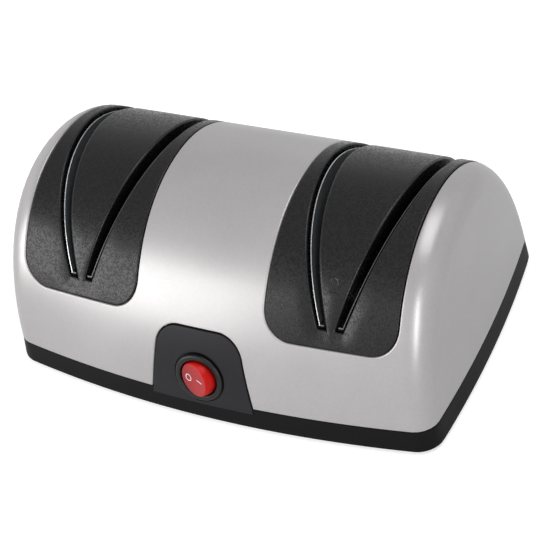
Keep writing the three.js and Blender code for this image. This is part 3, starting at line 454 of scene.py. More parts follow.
switchOutward = (0, -0.98, 0.199)  # the way that the switch faces
finishes = {
    # satin lacquer: highlights roll softly over the bow and the ends
    "silver": silverPaint({"name": "silverLacquerOnAbs", "dark": "#a8a6a6", "light": "#b3b1b1",
                           "metallic": 0.44, "roughness": 0.33, "wear": 0.03, "coat": 0.05, "peel": 0.12,
                           "flake": 0.45, "cloud": 35, "orange": 1.6}),
    # satin moulding: the switch panel looks an even dark grey
    "tray": moulded({"name": "charcoalAbs", "dark": "#18181b", "light": "#1f1f22", "grain": 0.5,
                     "roughness": 0.36, "bump": 0.12, "gleam": 0.2}),
    # eroded grain: the light breaks into small points where the skin bends
    "module": moulded({"name": "grainedBlackAbs", "dark": "#090809", "light": "#131112", "grain": 0.6,
                       "roughness": 0.32, "bump": 0.5, "depth": 0.08, "gleam": 0.32, "speckle": 0.15}),
    # polished figures: smooth lines that catch the light on the grain
    "figure": moulded({"name": "polishedBlackAbs", "dark": "#060606", "light": "#0b0b0b", "grain": 0.6,
                       "roughness": 0.2, "bump": 0.1, "gleam": 0.5}),
    # etched moulding, rougher than the panel, so the band mirrors nothing; its colour is darker than the
    # panel's as painted shade, so it stays near black
    "band": moulded({"name": "charcoalAbsEtchedPaintedShade", "dark": "#0d0d0f", "light": "#121214", "grain": 0.5,
                     "roughness": 0.5, "bump": 0.12, "gleam": 0.08}),
    # smooth nylon: a soft line of light along the rolled edge
    "bezel": moulded({"name": "blackNylonBezel", "dark": "#0e0e0f", "light": "#141416", "grain": 0.4,
                      "roughness": 0.3, "bump": 0.08, "gleam": 0.3}),
    # blackened strip: a dark sheen in the slot, and bright where it is cut; the right springs' cut edges keep
    # this dark finish as painted shade
    "strip": brushedMetal({"name": "blackenedSpringSteel", "dark": "#4c4e50", "light": "#5c5e60",
                           "lines": (1, 0.05, 1), "roughness": 0.35, "metallic": 0.4}),
    "cutEdge": brushedMetal({"name": "shearedSteelEdge", "dark": "#b6b8ba", "light": "#d2d4d6",
                             "lines": (1, 0.05, 1), "roughness": 0.36}),
    # the metals inside: drawn, stacked or pressed, so their lines run differently
    "zinc": brushedMetal({"name": "zincPlatedSteel", "dark": "#8b8e92", "light": "#a7aaae",
                          "lines": (0.2, 1, 1), "roughness": 0.38}),
    "iron": brushedMetal({"name": "stackedIronSheets", "dark": "#3d3a38", "light": "#5c5855",
                          "lines": (3, 0.1, 0.1), "roughness": 0.55}),
    "copper": brushedMetal({"name": "drawnCopper", "dark": "#a3603a", "light": "#c07a50",
                            "lines": (1, 0.1, 1), "roughness": 0.35}),
    "bronze": brushedMetal({"name": "sinteredBronze", "dark": "#86683f", "light": "#a98752",
                            "lines": (1, 1, 1), "roughness": 0.5}),
    # bonded grain: the coarse discs look brown and open, the fine ones pale and close
    "coarse": grit({"name": "coarseAbrasive", "dark": "#5c5249", "light": "#a2968a", "grit": 0.35}),
    "fine": grit({"name": "fineAbrasive", "dark": "#9c958c", "light": "#d9d4cb", "grit": 0.2}),
    # plain mouldings and pressings: dull, with the grain of their own powder or mould
    "nylon": moulded({"name": "naturalNylon", "dark": "#cfccc2", "light": "#dedbd2", "grain": 0.8,
                      "roughness": 0.5, "bump": 0.1}),
    "ferrite": moulded({"name": "sinteredFerrite", "dark": "#232325", "light": "#303033", "grain": 0.3,
                        "roughness": 0.6, "bump": 0.3}),
    "carbon": moulded({"name": "pressedCarbon", "dark": "#18181a", "light": "#242426", "grain": 0.3,
                       "roughness": 0.7, "bump": 0.2}),
    "rubber": moulded({"name": "mouldedRubber", "dark": "#161617", "light": "#202021", "grain": 0.7,
                       "roughness": 0.75, "bump": 0.2}),
    # red polycarbonate: deep and clear at its flank, with a paler sheen on the face that a finger meets, and
    # painted shade that darkens both towards the well
    "rocker": glossyPolycarbonate({"name": "redPolycarbonate", "dark": "#b80f0c", "light": "#cc140e",
                                   "roughness": 0.3, "glow": 0.12, "gleam": 0.14, "outward": switchOutward,
                                   "fullShadeAt": 67.2, "noShadeAt": 70.4, "least": 0.3}),
    "rockerFace": glossyPolycarbonate({"name": "redPolycarbonateFrosted", "dark": "#980a12",
                                       "light": "#a40c14", "roughness": 0.3, "glow": 0.1, "gleam": 0.32,
                                       "outward": switchOutward, "fullShadeAt": 66.6, "noShadeAt": 70.4,
                                       "least": 0.45}),
    # pad print: a flat, slightly warm white
    "print": moulded({"name": "whitePadPrint", "dark": "#efe6e6", "light": "#f6eeee", "grain": 0.3,
                      "roughness": 0.5, "bump": 0.02}),
}
nodeFinishes = {
    "tray": "tray", "housing": "silver", "guide_module": "module", "spring": "strip",
    "switch_body": "bezel", "switch_rocker": "rocker", "terminal": "copper", "can": "zinc", "bell": "zinc",
    "strap": "zinc", "screw": "zinc", "shaft": "zinc", "collar": "zinc", "rotor_core": "iron",
    "commutator": "copper", "magnet": "ferrite", "brush": "carbon", "bush": "bronze", "spacer": "nylon",
    "foot": "rubber"}
for nodeName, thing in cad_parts.items():
    if nodeName.endswith("_disc"):
        finish = "coarse" if nodeName.startswith("left") else "fine"
    else:
        finish = next(nodeFinishes[key] for key in nodeFinishes if nodeName.endswith(key))
    thing.data.materials.clear()
    thing.data.materials.append(finishes[finish])
print("materials made")

# Openings for the guide modules, the slots in these, and the switch panel, as the solids have them.
opening = {"middle": 58, "half": 28.6, "low": 44.4, "corner": 12, "spacing": 1.0}
slots = {"z": 51.5, "y": -45, "inner": 2.3, "outer": 5.5, "innerLean": 0.235, "outerLean": 0.31,
         "endLean": 0.27, "spread": 0.11, "endX": 60.0, "spacing": 0.9, "endSpacing": 0.5}
panel = {"lowHalf": 23.3, "highHalf": 18.2, "topZ": 42.7, "corner": 10.8, "gap": 0.6, "wall": 3.0,
         "spacing": 0.7}


def openingLoop(side, grow):
    # outline of a module opening on the surface, counter-clockwise, front edge first
    o = opening
    left, right = side * o["middle"] - o["half"] - grow, side * o["middle"] + o["half"] + grow
    low, r = o["low"] - grow, o["corner"] + grow
    count = int(r * math.pi / 2 / o["spacing"])
    edge = np.concatenate([
        arc((left + r, low + r), r, math.pi, 1.5 * math.pi, count),
        spread((left + r, low), (right - r, low), o["spacing"]),
        arc((right - r, low + r), r, 1.5 * math.pi, 2 * math.pi, count)])
    frontLoop = solveUV(edge[:, 0], edge[:, 1], True)
    backLoop = solveUV(edge[::-1, 0], edge[::-1, 1], False)
    ends, backEnds = (solveUV(np.array([right, left]), np.full(2, low + r), front) for front in (True, False))
    steps = int((backEnds[0, 1] - ends[0, 1]) / o["spacing"])
    flanks = []
    for x, start, stop in ((right, ends[0, 1], backEnds[0, 1]), (left, backEnds[1, 1], ends[1, 1])):
        v = np.linspace(start, stop, steps, endpoint=False)
        flanks.append(np.stack([solveU(np.full(steps, x), v), v], -1))
    return np.concatenate([frontLoop, flanks[0], backLoop, flanks[1]])


def slotX(side, hand, base, lean, y, z):
    offset = base + lean * (z - slots["z"]) + slots["spread"] * (y - slots["y"])
    return side * opening["middle"] + hand * offset


def slotCurve(side, hand, base, lean, lowZ=slots["z"], guess=40.0):
    # the line where a leaning wall meets the surface, from the front floor over the top to the back
    ends = []
    for v, way in ((guess, 1), (profile["total"] - guess, -1)):
        for _ in range(12):
            at = skinPoint(solveU(np.array([side * slots["endX"]]), np.array([v])), np.array([v]))[0]
            v += (lowZ - at[2]) * way
        ends.append(v)
    vs = np.linspace(ends[0], ends[1], int((ends[1] - ends[0]) / slots["spacing"]))
    u = np.full(len(vs), float(side * opening["middle"]))
    for _ in range(6):
        at = skinPoint(u, vs)
        u = solveU(slotX(side, hand, base, lean, at[:, 1], at[:, 2]), vs, u)
    return np.stack([u, vs], -1)


def slotLoop(side, hand, look):
    # closed outline of a slot with its edge radii and wall leans, turned so that the material lies to the left
    inner = slotCurve(side, hand, slots["inner"], slots["innerLean"])
    outer = slotCurve(side, hand, slots["outer"], slots["outerLean"])
    parts = [(inner, look["humpEdge"][hand > 0], slots["innerLean"]),
             (spread(inner[-1], outer[-1], slots["endSpacing"])[1:], look["outerEdge"], slots["endLean"]),
             (outer[::-1], look["outerEdge"], slots["outerLean"]),
             (spread(outer[0], inner[0], slots["endSpacing"])[1:], look["outerEdge"], slots["endLean"])]
    loop = np.concatenate([points for points, _, _ in parts])
    radii, leans = (np.concatenate([np.full(len(part[0]), part[k]) for part in parts]) for k in (1, 2))
    return loop[::hand], radii[::hand], leans[::hand]


def panelLine(grow, lowZ):
    # open line round the switch panel in the front, from its left foot over the top to its right foot
    p = panel
    lean = (p["lowHalf"] - p["highHalf"]) / (p["topZ"] - body["partZ"])
    angle = math.atan(lean)
    top, r = p["topZ"] + grow, p["corner"] + grow

    def halfAt(z):
        return p["lowHalf"] + grow / math.cos(angle) - lean * (z - body["partZ"])

    centreZ = top - r
    centreX = halfAt(centreZ) - r / math.cos(angle)
    bend = (centreX + r * math.cos(angle), centreZ + r * math.sin(angle))
    rightSide = np.concatenate([
        spread((halfAt(lowZ), lowZ), bend, p["spacing"]),
        arc((centreX, centreZ), r, angle, math.pi / 2, int(r * math.pi / 2 / p["spacing"])),
        spread((centreX, top), (0, top), p["spacing"])])
    line = np.concatenate([rightSide, [(0, top)], rightSide[::-1] * (-1, 1)])[::-1]
    return solveUV(line[:, 0], line[:, 1], True)


# The housing: a shell with an edge rounding at every opening; the cord's hole has x, z and radius.
housingLook = {"edge": 0.45, "moduleEdge": 0.7, "cordEdge": 0.5, "spacing": 3.0, "wall": 2.2,
               "cord": (-62, 24, 3.6), "cordSteps": 28, "endSteps": 160, "endRings": 9, "feel": 0.1}


def buildHousing(look):
    build = newBuild()
    total = profile["total"]
    notch = panelLine(panel["gap"], body["partZ"])
    notch[[0, -1], 1] = 0
    corners = [(notch[-1][0], 0), (endReach, 0), (endReach, total), (-endReach, total), (-endReach, 0),
               (notch[0][0], 0)]
    sides = [spread(a, b, look["spacing"]) for a, b in zip(corners[:-1], corners[1:])]
    outer = np.concatenate([sides[0][1:], *sides[1:], notch])
    # the skin starts an edge rounding's radius inside the outline, where the panel stands in it
    notched = np.zeros(len(outer))
    notched[len(outer) - len(notch):] = look["edge"]
    skinOuter = outer + loopOffset(outer) * notched[:, None]
    skinOuter[:, 1] = np.where(outer[:, 1] == 0, 0, skinOuter[:, 1])
    notchIn = loopOffset(notch, closed=False)
    notchIn[[0, -1], 1] = 0
    holes = [(openingLoop(side, 0)[::-1], look["moduleEdge"]) for side in (-1, 1)]
    x, z, radius = look["cord"]
    cord = arc((x, z), radius, 0, -2 * math.pi, look["cordSteps"])
    cord = solveUV(cord[:, 0], cord[:, 1], False)
    holes.append((cord[::-1] if areaOf(cord) > 0 else cord, look["cordEdge"]))
    skinHoles = [loop + loopOffset(loop) * radius for loop, radius in holes]
    addSkin(build, skinPoint, [skinOuter] + skinHoles, look["spacing"])
    for loop, radius in holes:
        addRows(build, *rimRows(skinPoint, loop, loopOffset(loop), radius, rimSteps, look["wall"]), True)
    addRows(build, *rimRows(skinPoint, notch, notchIn, look["edge"], rimSteps, look["wall"]), False)
    # end faces, ring by ring from the skin's edge to their low middle
    vs = np.linspace(0, total, look["endSteps"])
    centre = np.array([0, (body["frontY"] + body["backY"]) / 2, body["partZ"]])
    d = look["feel"]
    for side in (-1, 1):
        edge = skinPoint(np.full(len(vs), side * endReach), vs)
        rings, ringNormals = [], []
        for share in np.linspace(0, 1, look["endRings"]):
            ring = edge + (centre - edge) * share
            y, z = ring[:, 1], ring[:, 2]
            ring[:, 0] = side * endFaceAt(y, z)
            rings.append(ring)
            slopeY = (endFaceAt(y + d, z) - endFaceAt(y - d, z)) / (2 * d)
            slopeZ = (endFaceAt(y, z + d) - endFaceAt(y, z - d)) / (2 * d)
            ringNormals.append(unit(np.stack([np.full(len(y), side), -slopeY, -slopeZ], -1)))
        addRows(build, rings, ringNormals, False)
    return finishBuild(build, "housingShell", finishes["silver"])


housingShell = buildHousing(housingLook)
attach(housingShell, "base")
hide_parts("housing")
print("housing made")

# Guide modules: one skin with two slots, walls and floors under it, and a dip at each slot's front end.
# The window is the round clearance of the discs, about the shaft's line at axisY and axisZ.
moduleLook = {"gap": 0.35, "edge": 0.6, "spacing": 1.4, "wall": 4.2, "flange": 3.0, "flangeTop": 2.5,
              "humpEdge": (1.7, 1.0), "outerEdge": 0.8, "slotEdgeSteps": 7, "guideWall": 1.8,
              "wallSteps": 26, "floorSpacing": 2.5, "windowR": 26.5, "axisY": -6, "axisZ": 38,
              "dip": 0.9, "dipReach": 7.5, "dipLength": 30, "dipBelow": 7}


def clearOfDiscs(points, look):
    return np.hypot(points[..., 1] - look["axisY"], points[..., 2] - look["axisZ"]) > look["windowR"]


def buildModule(side, look, name):
    build = newBuild()
    slotLoops = [slotLoop(side, hand, look) for hand in (-1, 1)]
    middle = (slots["inner"] + slots["outer"]) / 2
    middleLean = (slots["innerLean"] + slots["outerLean"]) / 2
    centreLines = [slotCurve(side, hand, middle, middleLean) for hand in (-1, 1)]

    def dipped(u, v):
        # towards the front end of each slot the surface sinks into it like a soft funnel
        uu, vv = np.broadcast_arrays(np.asarray(u, float), np.asarray(v, float))
        stay = np.ones(uu.shape)
        for line in centreLines:
            past = np.abs(uu - np.interp(vv, line[:, 1], line[:, 0])) - (slots["outer"] - slots["inner"]) / 2
            beside = np.clip(past / look["dipReach"], 0, 1)
            along = (vv - line[0, 1]) / np.where(vv < line[0, 1], -look["dipBelow"], look["dipLength"])
            along = np.clip(1 - along, 0, 1)
            stay *= 1 - (1 - beside) ** 2 * along ** 2 * (3 - 2 * along)
        return skinPoint(uu, vv) - skinNormal(skinPoint, uu, vv)[0] * (look["dip"] * (1 - stay))[..., None]

    outline = openingLoop(side, -look["gap"])
    inward = loopOffset(outline)
    skinLoops = [outline + inward * look["edge"]]
    skinLoops += [loop + loopOffset(loop) * radii[:, None] for loop, radii, _ in slotLoops]
    addSkin(build, dipped, skinLoops, look["spacing"])
    addRows(build, *rimRows(dipped, outline, inward, look["edge"], rimSteps, look["flangeTop"]), True)
    # flange under the housing, closed by the underside of the skin
    flange = openingLoop(side, look["flange"])
    for inner, depth, facing in ((outline, look["flangeTop"], 1),
                                 (openingLoop(side, -look["guideWall"]), look["wall"], -1)):
        a, b = under(inner, depth), under(flange, depth)
        if len(a) != len(b):
            b = b[np.linspace(0, len(b) - 1, len(a)).astype(int)]
        way = skinNormal(skinPoint, inner[:, 0], inner[:, 1])[0] * facing
        addRows(build, [a, b], [way, way], True)
    wallLoops = [loop + loopOffset(loop) * look["guideWall"] for loop, _, _ in slotLoops]
    addSkin(build, skinPoint, [outline] + wallLoops, look["spacing"] * 2, depth=look["wall"], flip=True)

    def dropped(start, low, slant):
        # the foot of a leaning wall
        end = start.copy()
        end[:, 2] = low
        end[:, 0] -= slant * (start[:, 2] - end[:, 2])
        return end

    for (loop, radii, leans), wallLoop, hand in zip(slotLoops, wallLoops, (-1, 1)):
        rows, normals = rimRows(dipped, loop, loopOffset(loop), radii, look["slotEdgeSteps"])
        addRows(build, rows, normals, True)
        for start, low, facing in ((rows[-1], slots["z"], 1),
                                   (under(wallLoop, look["wall"]), slots["z"] - look["guideWall"], -1)):
            shares = np.linspace(0, 1, look["wallSteps"])[:, None, None]
            wall = start + (dropped(start, low, hand * leans) - start) * shares
            addRows(build, wall, np.broadcast_to(normals[-1] * facing, wall.shape), True,
                    clearOfDiscs(wall, look))
        # floor of the slot, in front of the discs and behind them
        plan = dropped(rows[-1], slots["z"], hand * leans)[:, :2]
        flat, faces = fillLoops([plan if areaOf(plan) > 0 else plan[::-1]], look["floorSpacing"])
        points = np.column_stack([flat, np.full(len(flat), slots["z"])])
        faces = faces[clearOfDiscs(points[faces].mean(axis=1), look)]
        addPatch(build, points, np.tile([0.0, 0, 1], (len(points), 1)), faces)
    return finishBuild(build, name, finishes["module"])


# Raised stage numbers: strokes with a rounded back, laid on the skin, in mm across and up from their middle.
numberLook = {"place": (0.4, 58.0), "stroke": 0.5, "rise": 0.36, "sunk": 0.14, "spacing": 0.3, "rows": 7,
              "one": [(-1.3, 1.7), (0.2, 3.0), (0.2, -3.0)],
              "two": [(-1.7, 1.5), (-1.2, 2.6), (0, 3.0), (1.3, 2.5), (1.7, 1.4), (1.2, 0.2), (-0.6, -1.6),
                      (-1.8, -3.0), (1.9, -3.0)]}


def buildNumber(side, look, line, name, leastUp=0.05):
    build = newBuild()
    line = np.array(line, float)
    fine = np.concatenate([spread(a, b, look["spacing"]) for a, b in zip(line[:-1], line[1:])] + [line[-1:]])
    aside = loopOffset(fine, closed=False)
    middleU, middleV = side * opening["middle"] + look["place"][0], look["place"][1]
    rows, normals = [], []
    for angle in np.linspace(0, math.pi, look["rows"]):
        across = fine + aside * look["stroke"] * math.cos(angle)
        u, v = middleU + across[:, 0], middleV + across[:, 1]
        normal, alongU, alongV = skinNormal(skinPoint, u, v)
        rows.append(skinPoint(u, v) + normal * (look["rise"] * math.sin(angle) - look["sunk"]))
        tilt = alongU * aside[:, :1] + alongV * aside[:, 1:]
        normals.append(unit(tilt * math.cos(angle) + normal * max(math.sin(angle), leastUp)))
    addRows(build, rows, normals, False)
    return finishBuild(build, name, finishes["figure"])


for side, stage, figure in ((-1, "left", "one"), (1, "right", "two")):
    moduleSkin = buildModule(side, moduleLook, f"{stage}GuideModuleSkin")
    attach(moduleSkin, "base")
    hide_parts(f"{stage}_guide_module")
    number = buildNumber(side, numberLook, numberLook[figure], f"{stage}StageNumber")
    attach(number, "base")
print("guide modules made")

# Guide springs: thin strips with a tab bent across the front end of the slot; the left springs' cut edges
# shine, and the right springs' cut edges keep the dark strip finish as painted shade.
# Depths are counted from the skin, and the strip ends where it comes down to the floor.
springLook = {"standoff": 0.62, "sheet": 0.4, "sunk": 1.8, "depth": 11, "bevel": 0.06, "floor": 51.8,
              "endRise": 0.6, "hookReach": 1.6, "hookRise": 0.55}


def buildSpring(side, hand, look, name):
    build = newBuild()
    half, bevel, top, low = look["sheet"] / 2, look["bevel"], look["sunk"], look["depth"]
    middle = slots["outer"] - look["standoff"] - half
    line = slotCurve(side, hand, middle, slots["outerLean"], look["floor"] + look["endRise"])
    normal = skinNormal(skinPoint, line[:, 0], line[:, 1])[0]
    surface = skinPoint(line[:, 0], line[:, 1])

    def onPlate(depth, offset):
        # a row of the plate's own leaning plane, a depth under the skin, pushed sideways by an offset
        at = surface - normal * depth
        at[:, 2] = np.maximum(at[:, 2], look["floor"])
        at[:, 0] = slotX(side, hand, middle, slots["outerLean"], at[:, 1], at[:, 2]) + offset
        return at

    sideways = unit(np.array([1.0, -hand * slots["spread"], -hand * slots["outerLean"]]))
    section = [(low, -half), (top + bevel, -half), (top, -half + bevel), (top, half - bevel),
               (top + bevel, half), (low, half), (low, -half)]
    facings = [-sideways, normal - sideways, normal, normal + sideways, sideways, -normal]
    for a, b, facing in zip(section[:-1], section[1:], facings):
        way = unit(np.broadcast_to(facing, surface.shape))
        addRows(build, [onPlate(*a), onPlate(*b)], [way, way], False)
    for end, beside in ((0, 1), (-1, -2)):
        ring = np.array([onPlate(*place)[end] for place in section[:-1]])
        way = np.tile(unit(surface[end] - surface[beside]), (len(ring), 1))
        for faces in ([[0, 1, 4], [0, 4, 5]], [[1, 2, 3], [1, 3, 4]]):
            addPatch(build, ring, way, faces)
    # tab across the slot, bent from the front end of the strip
    corner = onPlate(top, 0)[0]
    across = np.array([-hand * (look["hookReach"] + half), 0, 0])
    slope = unit(np.array([0, normal[0][1], normal[0][2]]))
    along = unit(np.cross(slope, [1.0, 0, 0]))
    along *= np.sign(along[2]) * look["hookRise"]
    front = np.array([corner, corner + across, corner + across + along, corner + along])
    back = front - slope * look["sheet"]
    halves = [[0, 1, 2], [0, 2, 3]]
    addPatch(build, front, np.tile(slope, (4, 1)), halves)
    addPatch(build, back, np.tile(-slope, (4, 1)), halves)
    for a, b in ((0, 1), (1, 2), (2, 3), (3, 0)):
        way = unit(np.cross(front[b] - front[a], slope))
        way = way * np.sign(np.dot(way, (front[a] + front[b]) / 2 - front.mean(axis=0)))
        addPatch(build, np.array([front[a], front[b], back[b], back[a]]), np.tile(way, (4, 1)), halves)
    # bright: the cut edge of a left spring, which faces the light, and the four edges of the tab; a right
    # spring's cut edge keeps the dark strip finish, as painted shade
    count = len(surface) - 1
    edges = list(range(count, 4 * count)) if hand < 0 else []
    tabEdges = range(len(build["faces"]) - 8, len(build["faces"]))
    strip = finishBuild(build, name, finishes["strip"])
    addSecondFinish(strip, finishes["cutEdge"], edges + list(tabEdges))
    return strip


for side, stage in ((-1, "left"), (1, "right")):
    for hand, place in ((-1, "left"), (1, "right")):
        strip = buildSpring(side, hand, springLook, f"{stage}Stage{place.capitalize()}SpringStrip")
        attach(strip, f"{stage}_guide_{place}_spring_leaf")
        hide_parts(f"{stage}_guide_{place}_spring")
print("guide springs made")


def addSection(build, section, at, facing):
    # joins (reach, height, normal out, normal up) rows in turn; two rows at one place make an edge
    for a, b in zip(section[:-1], section[1:]):
        if a[:2] != b[:2]:
            addRows(build, [at(*row[:2]) for row in (a, b)], [unit(facing(*row[2:])) for row in (a, b)], True)


def sweepLoop(build, loop, outward, section):
    # carries a section round a loop in plan
    def at(grow, z):
        return np.column_stack([loop + outward * grow, np.full(len(loop), z)])

    def facing(out, up):
        return np.column_stack([outward * out, np.full(len(loop), up)])

    addSection(build, section, at, facing)


def addTurned(build, frameAt, section, count=roundSteps):
    # turns a section about an axis
    centre, ex, ey, n = frameAt
    angle = np.linspace(0, 2 * math.pi, count, endpoint=False)
    around = np.cos(angle)[:, None] * ex + np.sin(angle)[:, None] * ey
    addSection(build, section, lambda radius, height: centre + around * radius + n * height,
               lambda out, up: around * out + n * up)


def edgeRound(grow, z, radius, fromAngle, toAngle, steps=rimSteps):
    # section rows along an arc, with angles counted from outward to upward
    rows = []
    for step in range(steps + 1):
        angle = fromAngle + (toAngle - fromAngle) * step / steps
        out, up = math.cos(angle), math.sin(angle)
        rows.append((grow + radius * out, z + radius * up, out, up))
    return rows


def addLevel(build, loops, z, up, spacing):
    # flat piece with holes at one height
    turned = [loop if (areaOf(loop) > 0) == (index == 0) else loop[::-1] for index, loop in enumerate(loops)]
    flat, faces = fillLoops(turned, spacing)
    points = np.column_stack([flat, np.full(len(flat), z)])
    addPatch(build, points, np.tile([0.0, 0, up], (len(flat), 1)), faces)


def addBlockAlongX(build, outline, x0, x1, spacing=6):
    # a block whose outline in y and z is carried from x0 to x1, with hard edges
    outline = np.asarray(outline, float)
    outline = outline if areaOf(outline) > 0 else outline[::-1]
    flat, faces = fillLoops([outline], spacing)
    for x, way in ((x0, -1.0), (x1, 1.0)):
        points = np.column_stack([np.full(len(flat), x), flat])
        addPatch(build, points, np.tile([way, 0, 0], (len(flat), 1)), faces)
    for a, b in zip(outline, np.roll(outline, -1, axis=0)):
        run = unit(b - a)
        points = np.array([(x0, *a), (x0, *b), (x1, *b), (x1, *a)])
        addPatch(build, points, np.tile([0, run[1], -run[0]], (4, 1)), [[0, 1, 2, 3]])


# The tray: a flared band, a vented bottom, the lip inside the housing, and the panel in the housing's skin.
# Feet and screws have their places on the right half; a support has its x, width, half depth and cup radius.
trayLook = {"foot": 1.5, "flare": 1.08, "chamfer": 0.8, "top": 11.8, "topRound": 0.35, "lip": (2.5, 4.0),
            "lipTop": 16.3, "wall": 2.4, "floor": 3.7, "spacing": 3.0, "planSpacing": 2.0, "cornerSteps": 8,
            "floorSpacing": 8, "pocketSpacing": 4, "ventCount": 5, "ventSize": (3, 26), "ventPitch": 7,
            "ventSteps": 8, "feet": ((76, -44), (76, 62)), "footR": 7.3, "footSeat": 2.7, "footSteps": 32,
            "screws": ((92.5, -30), (89.5, 54)), "screwR": 3.1, "screwSteps": 24,
            "saddle": (15, 7, 25.3, 18.3), "post": (78, 7, 11, 6.3), "cupSteps": 20,
            "panelEdge": 0.5, "edgeLead": 0.3, "leastShare": 0.02, "panelFoot": 9.6, "footSpacing": 0.8,
            "panelSpacing": 1.2, "panelProud": 0.02, "proudOver": 0.4}
switchLook = {"seat": (0, -57.9, 21.9), "tilt": 0.2, "bezelR": 11.0, "recessR": 11.5, "holeR": 10.2,
              "proud": 1.8, "recessEdge": 0.25, "recessEdgeSteps": 4, "leastDepth": 0.3, "guess": 12.0}


def seatFrame(look):
    tilt = look["tilt"]
    return (np.array(look["seat"], float), np.array([1.0, 0, 0]), np.array([0, math.sin(tilt), math.cos(tilt)]),
            np.array([0, -math.cos(tilt), math.sin(tilt)]))


def planLine(look):
    # the skin's plan at the parting line, counter-clockwise, with its outward directions
    corner = np.linspace(straightReach, endReach, look["cornerSteps"] + 1)[1:-1]
    straight = np.arange(-straightReach, straightReach + 0.1, look["planSpacing"])
    run = np.concatenate([-corner[::-1], straight, corner])
    front = skinPoint(run, np.zeros(len(run)))[:, :2]
    back = skinPoint(run[::-1], np.full(len(run), profile["total"]))[:, :2]
    flanks = []
    for side, start, stop in ((1, front[-1], back[0]), (-1, back[-1], front[0])):
        y = np.linspace(start[1], stop[1], int(abs(stop[1] - start[1]) / look["spacing"]))[1:-1]
        flanks.append(np.column_stack([side * endFaceAt(y, body["partZ"]), y]))
    loop = np.concatenate([front, flanks[0], back, flanks[1]])
    return loop, -loopOffset(loop)


def trayHoles(look):
    # vents and screw holes go through to the floor, and the feet's pockets end at their seat
    holes = []
    axisY = moduleLook["axisY"]
    width, length = look["ventSize"]
    half, reach = width / 2, length / 2 - width / 2
    for side in (-1, 1):
        for index in range(look["ventCount"]):
            x = side * opening["middle"] + (index - (look["ventCount"] - 1) / 2) * look["ventPitch"]
            vent = [arc((x, axisY + way * reach), half, start, start + math.pi, look["ventSteps"])
                    for way, start in ((1, 0), (-1, math.pi))]
            holes.append((np.concatenate(vent), look["floor"]))
        for places, radius, steps, height in (
                (look["screws"], look["screwR"], look["screwSteps"], look["floor"]),
                (look["feet"], look["footR"], look["footSteps"], look["footSeat"])):
            holes += [(arc((side * x, y), radius, 0, 2 * math.pi, steps), height) for x, y in places]
    return holes


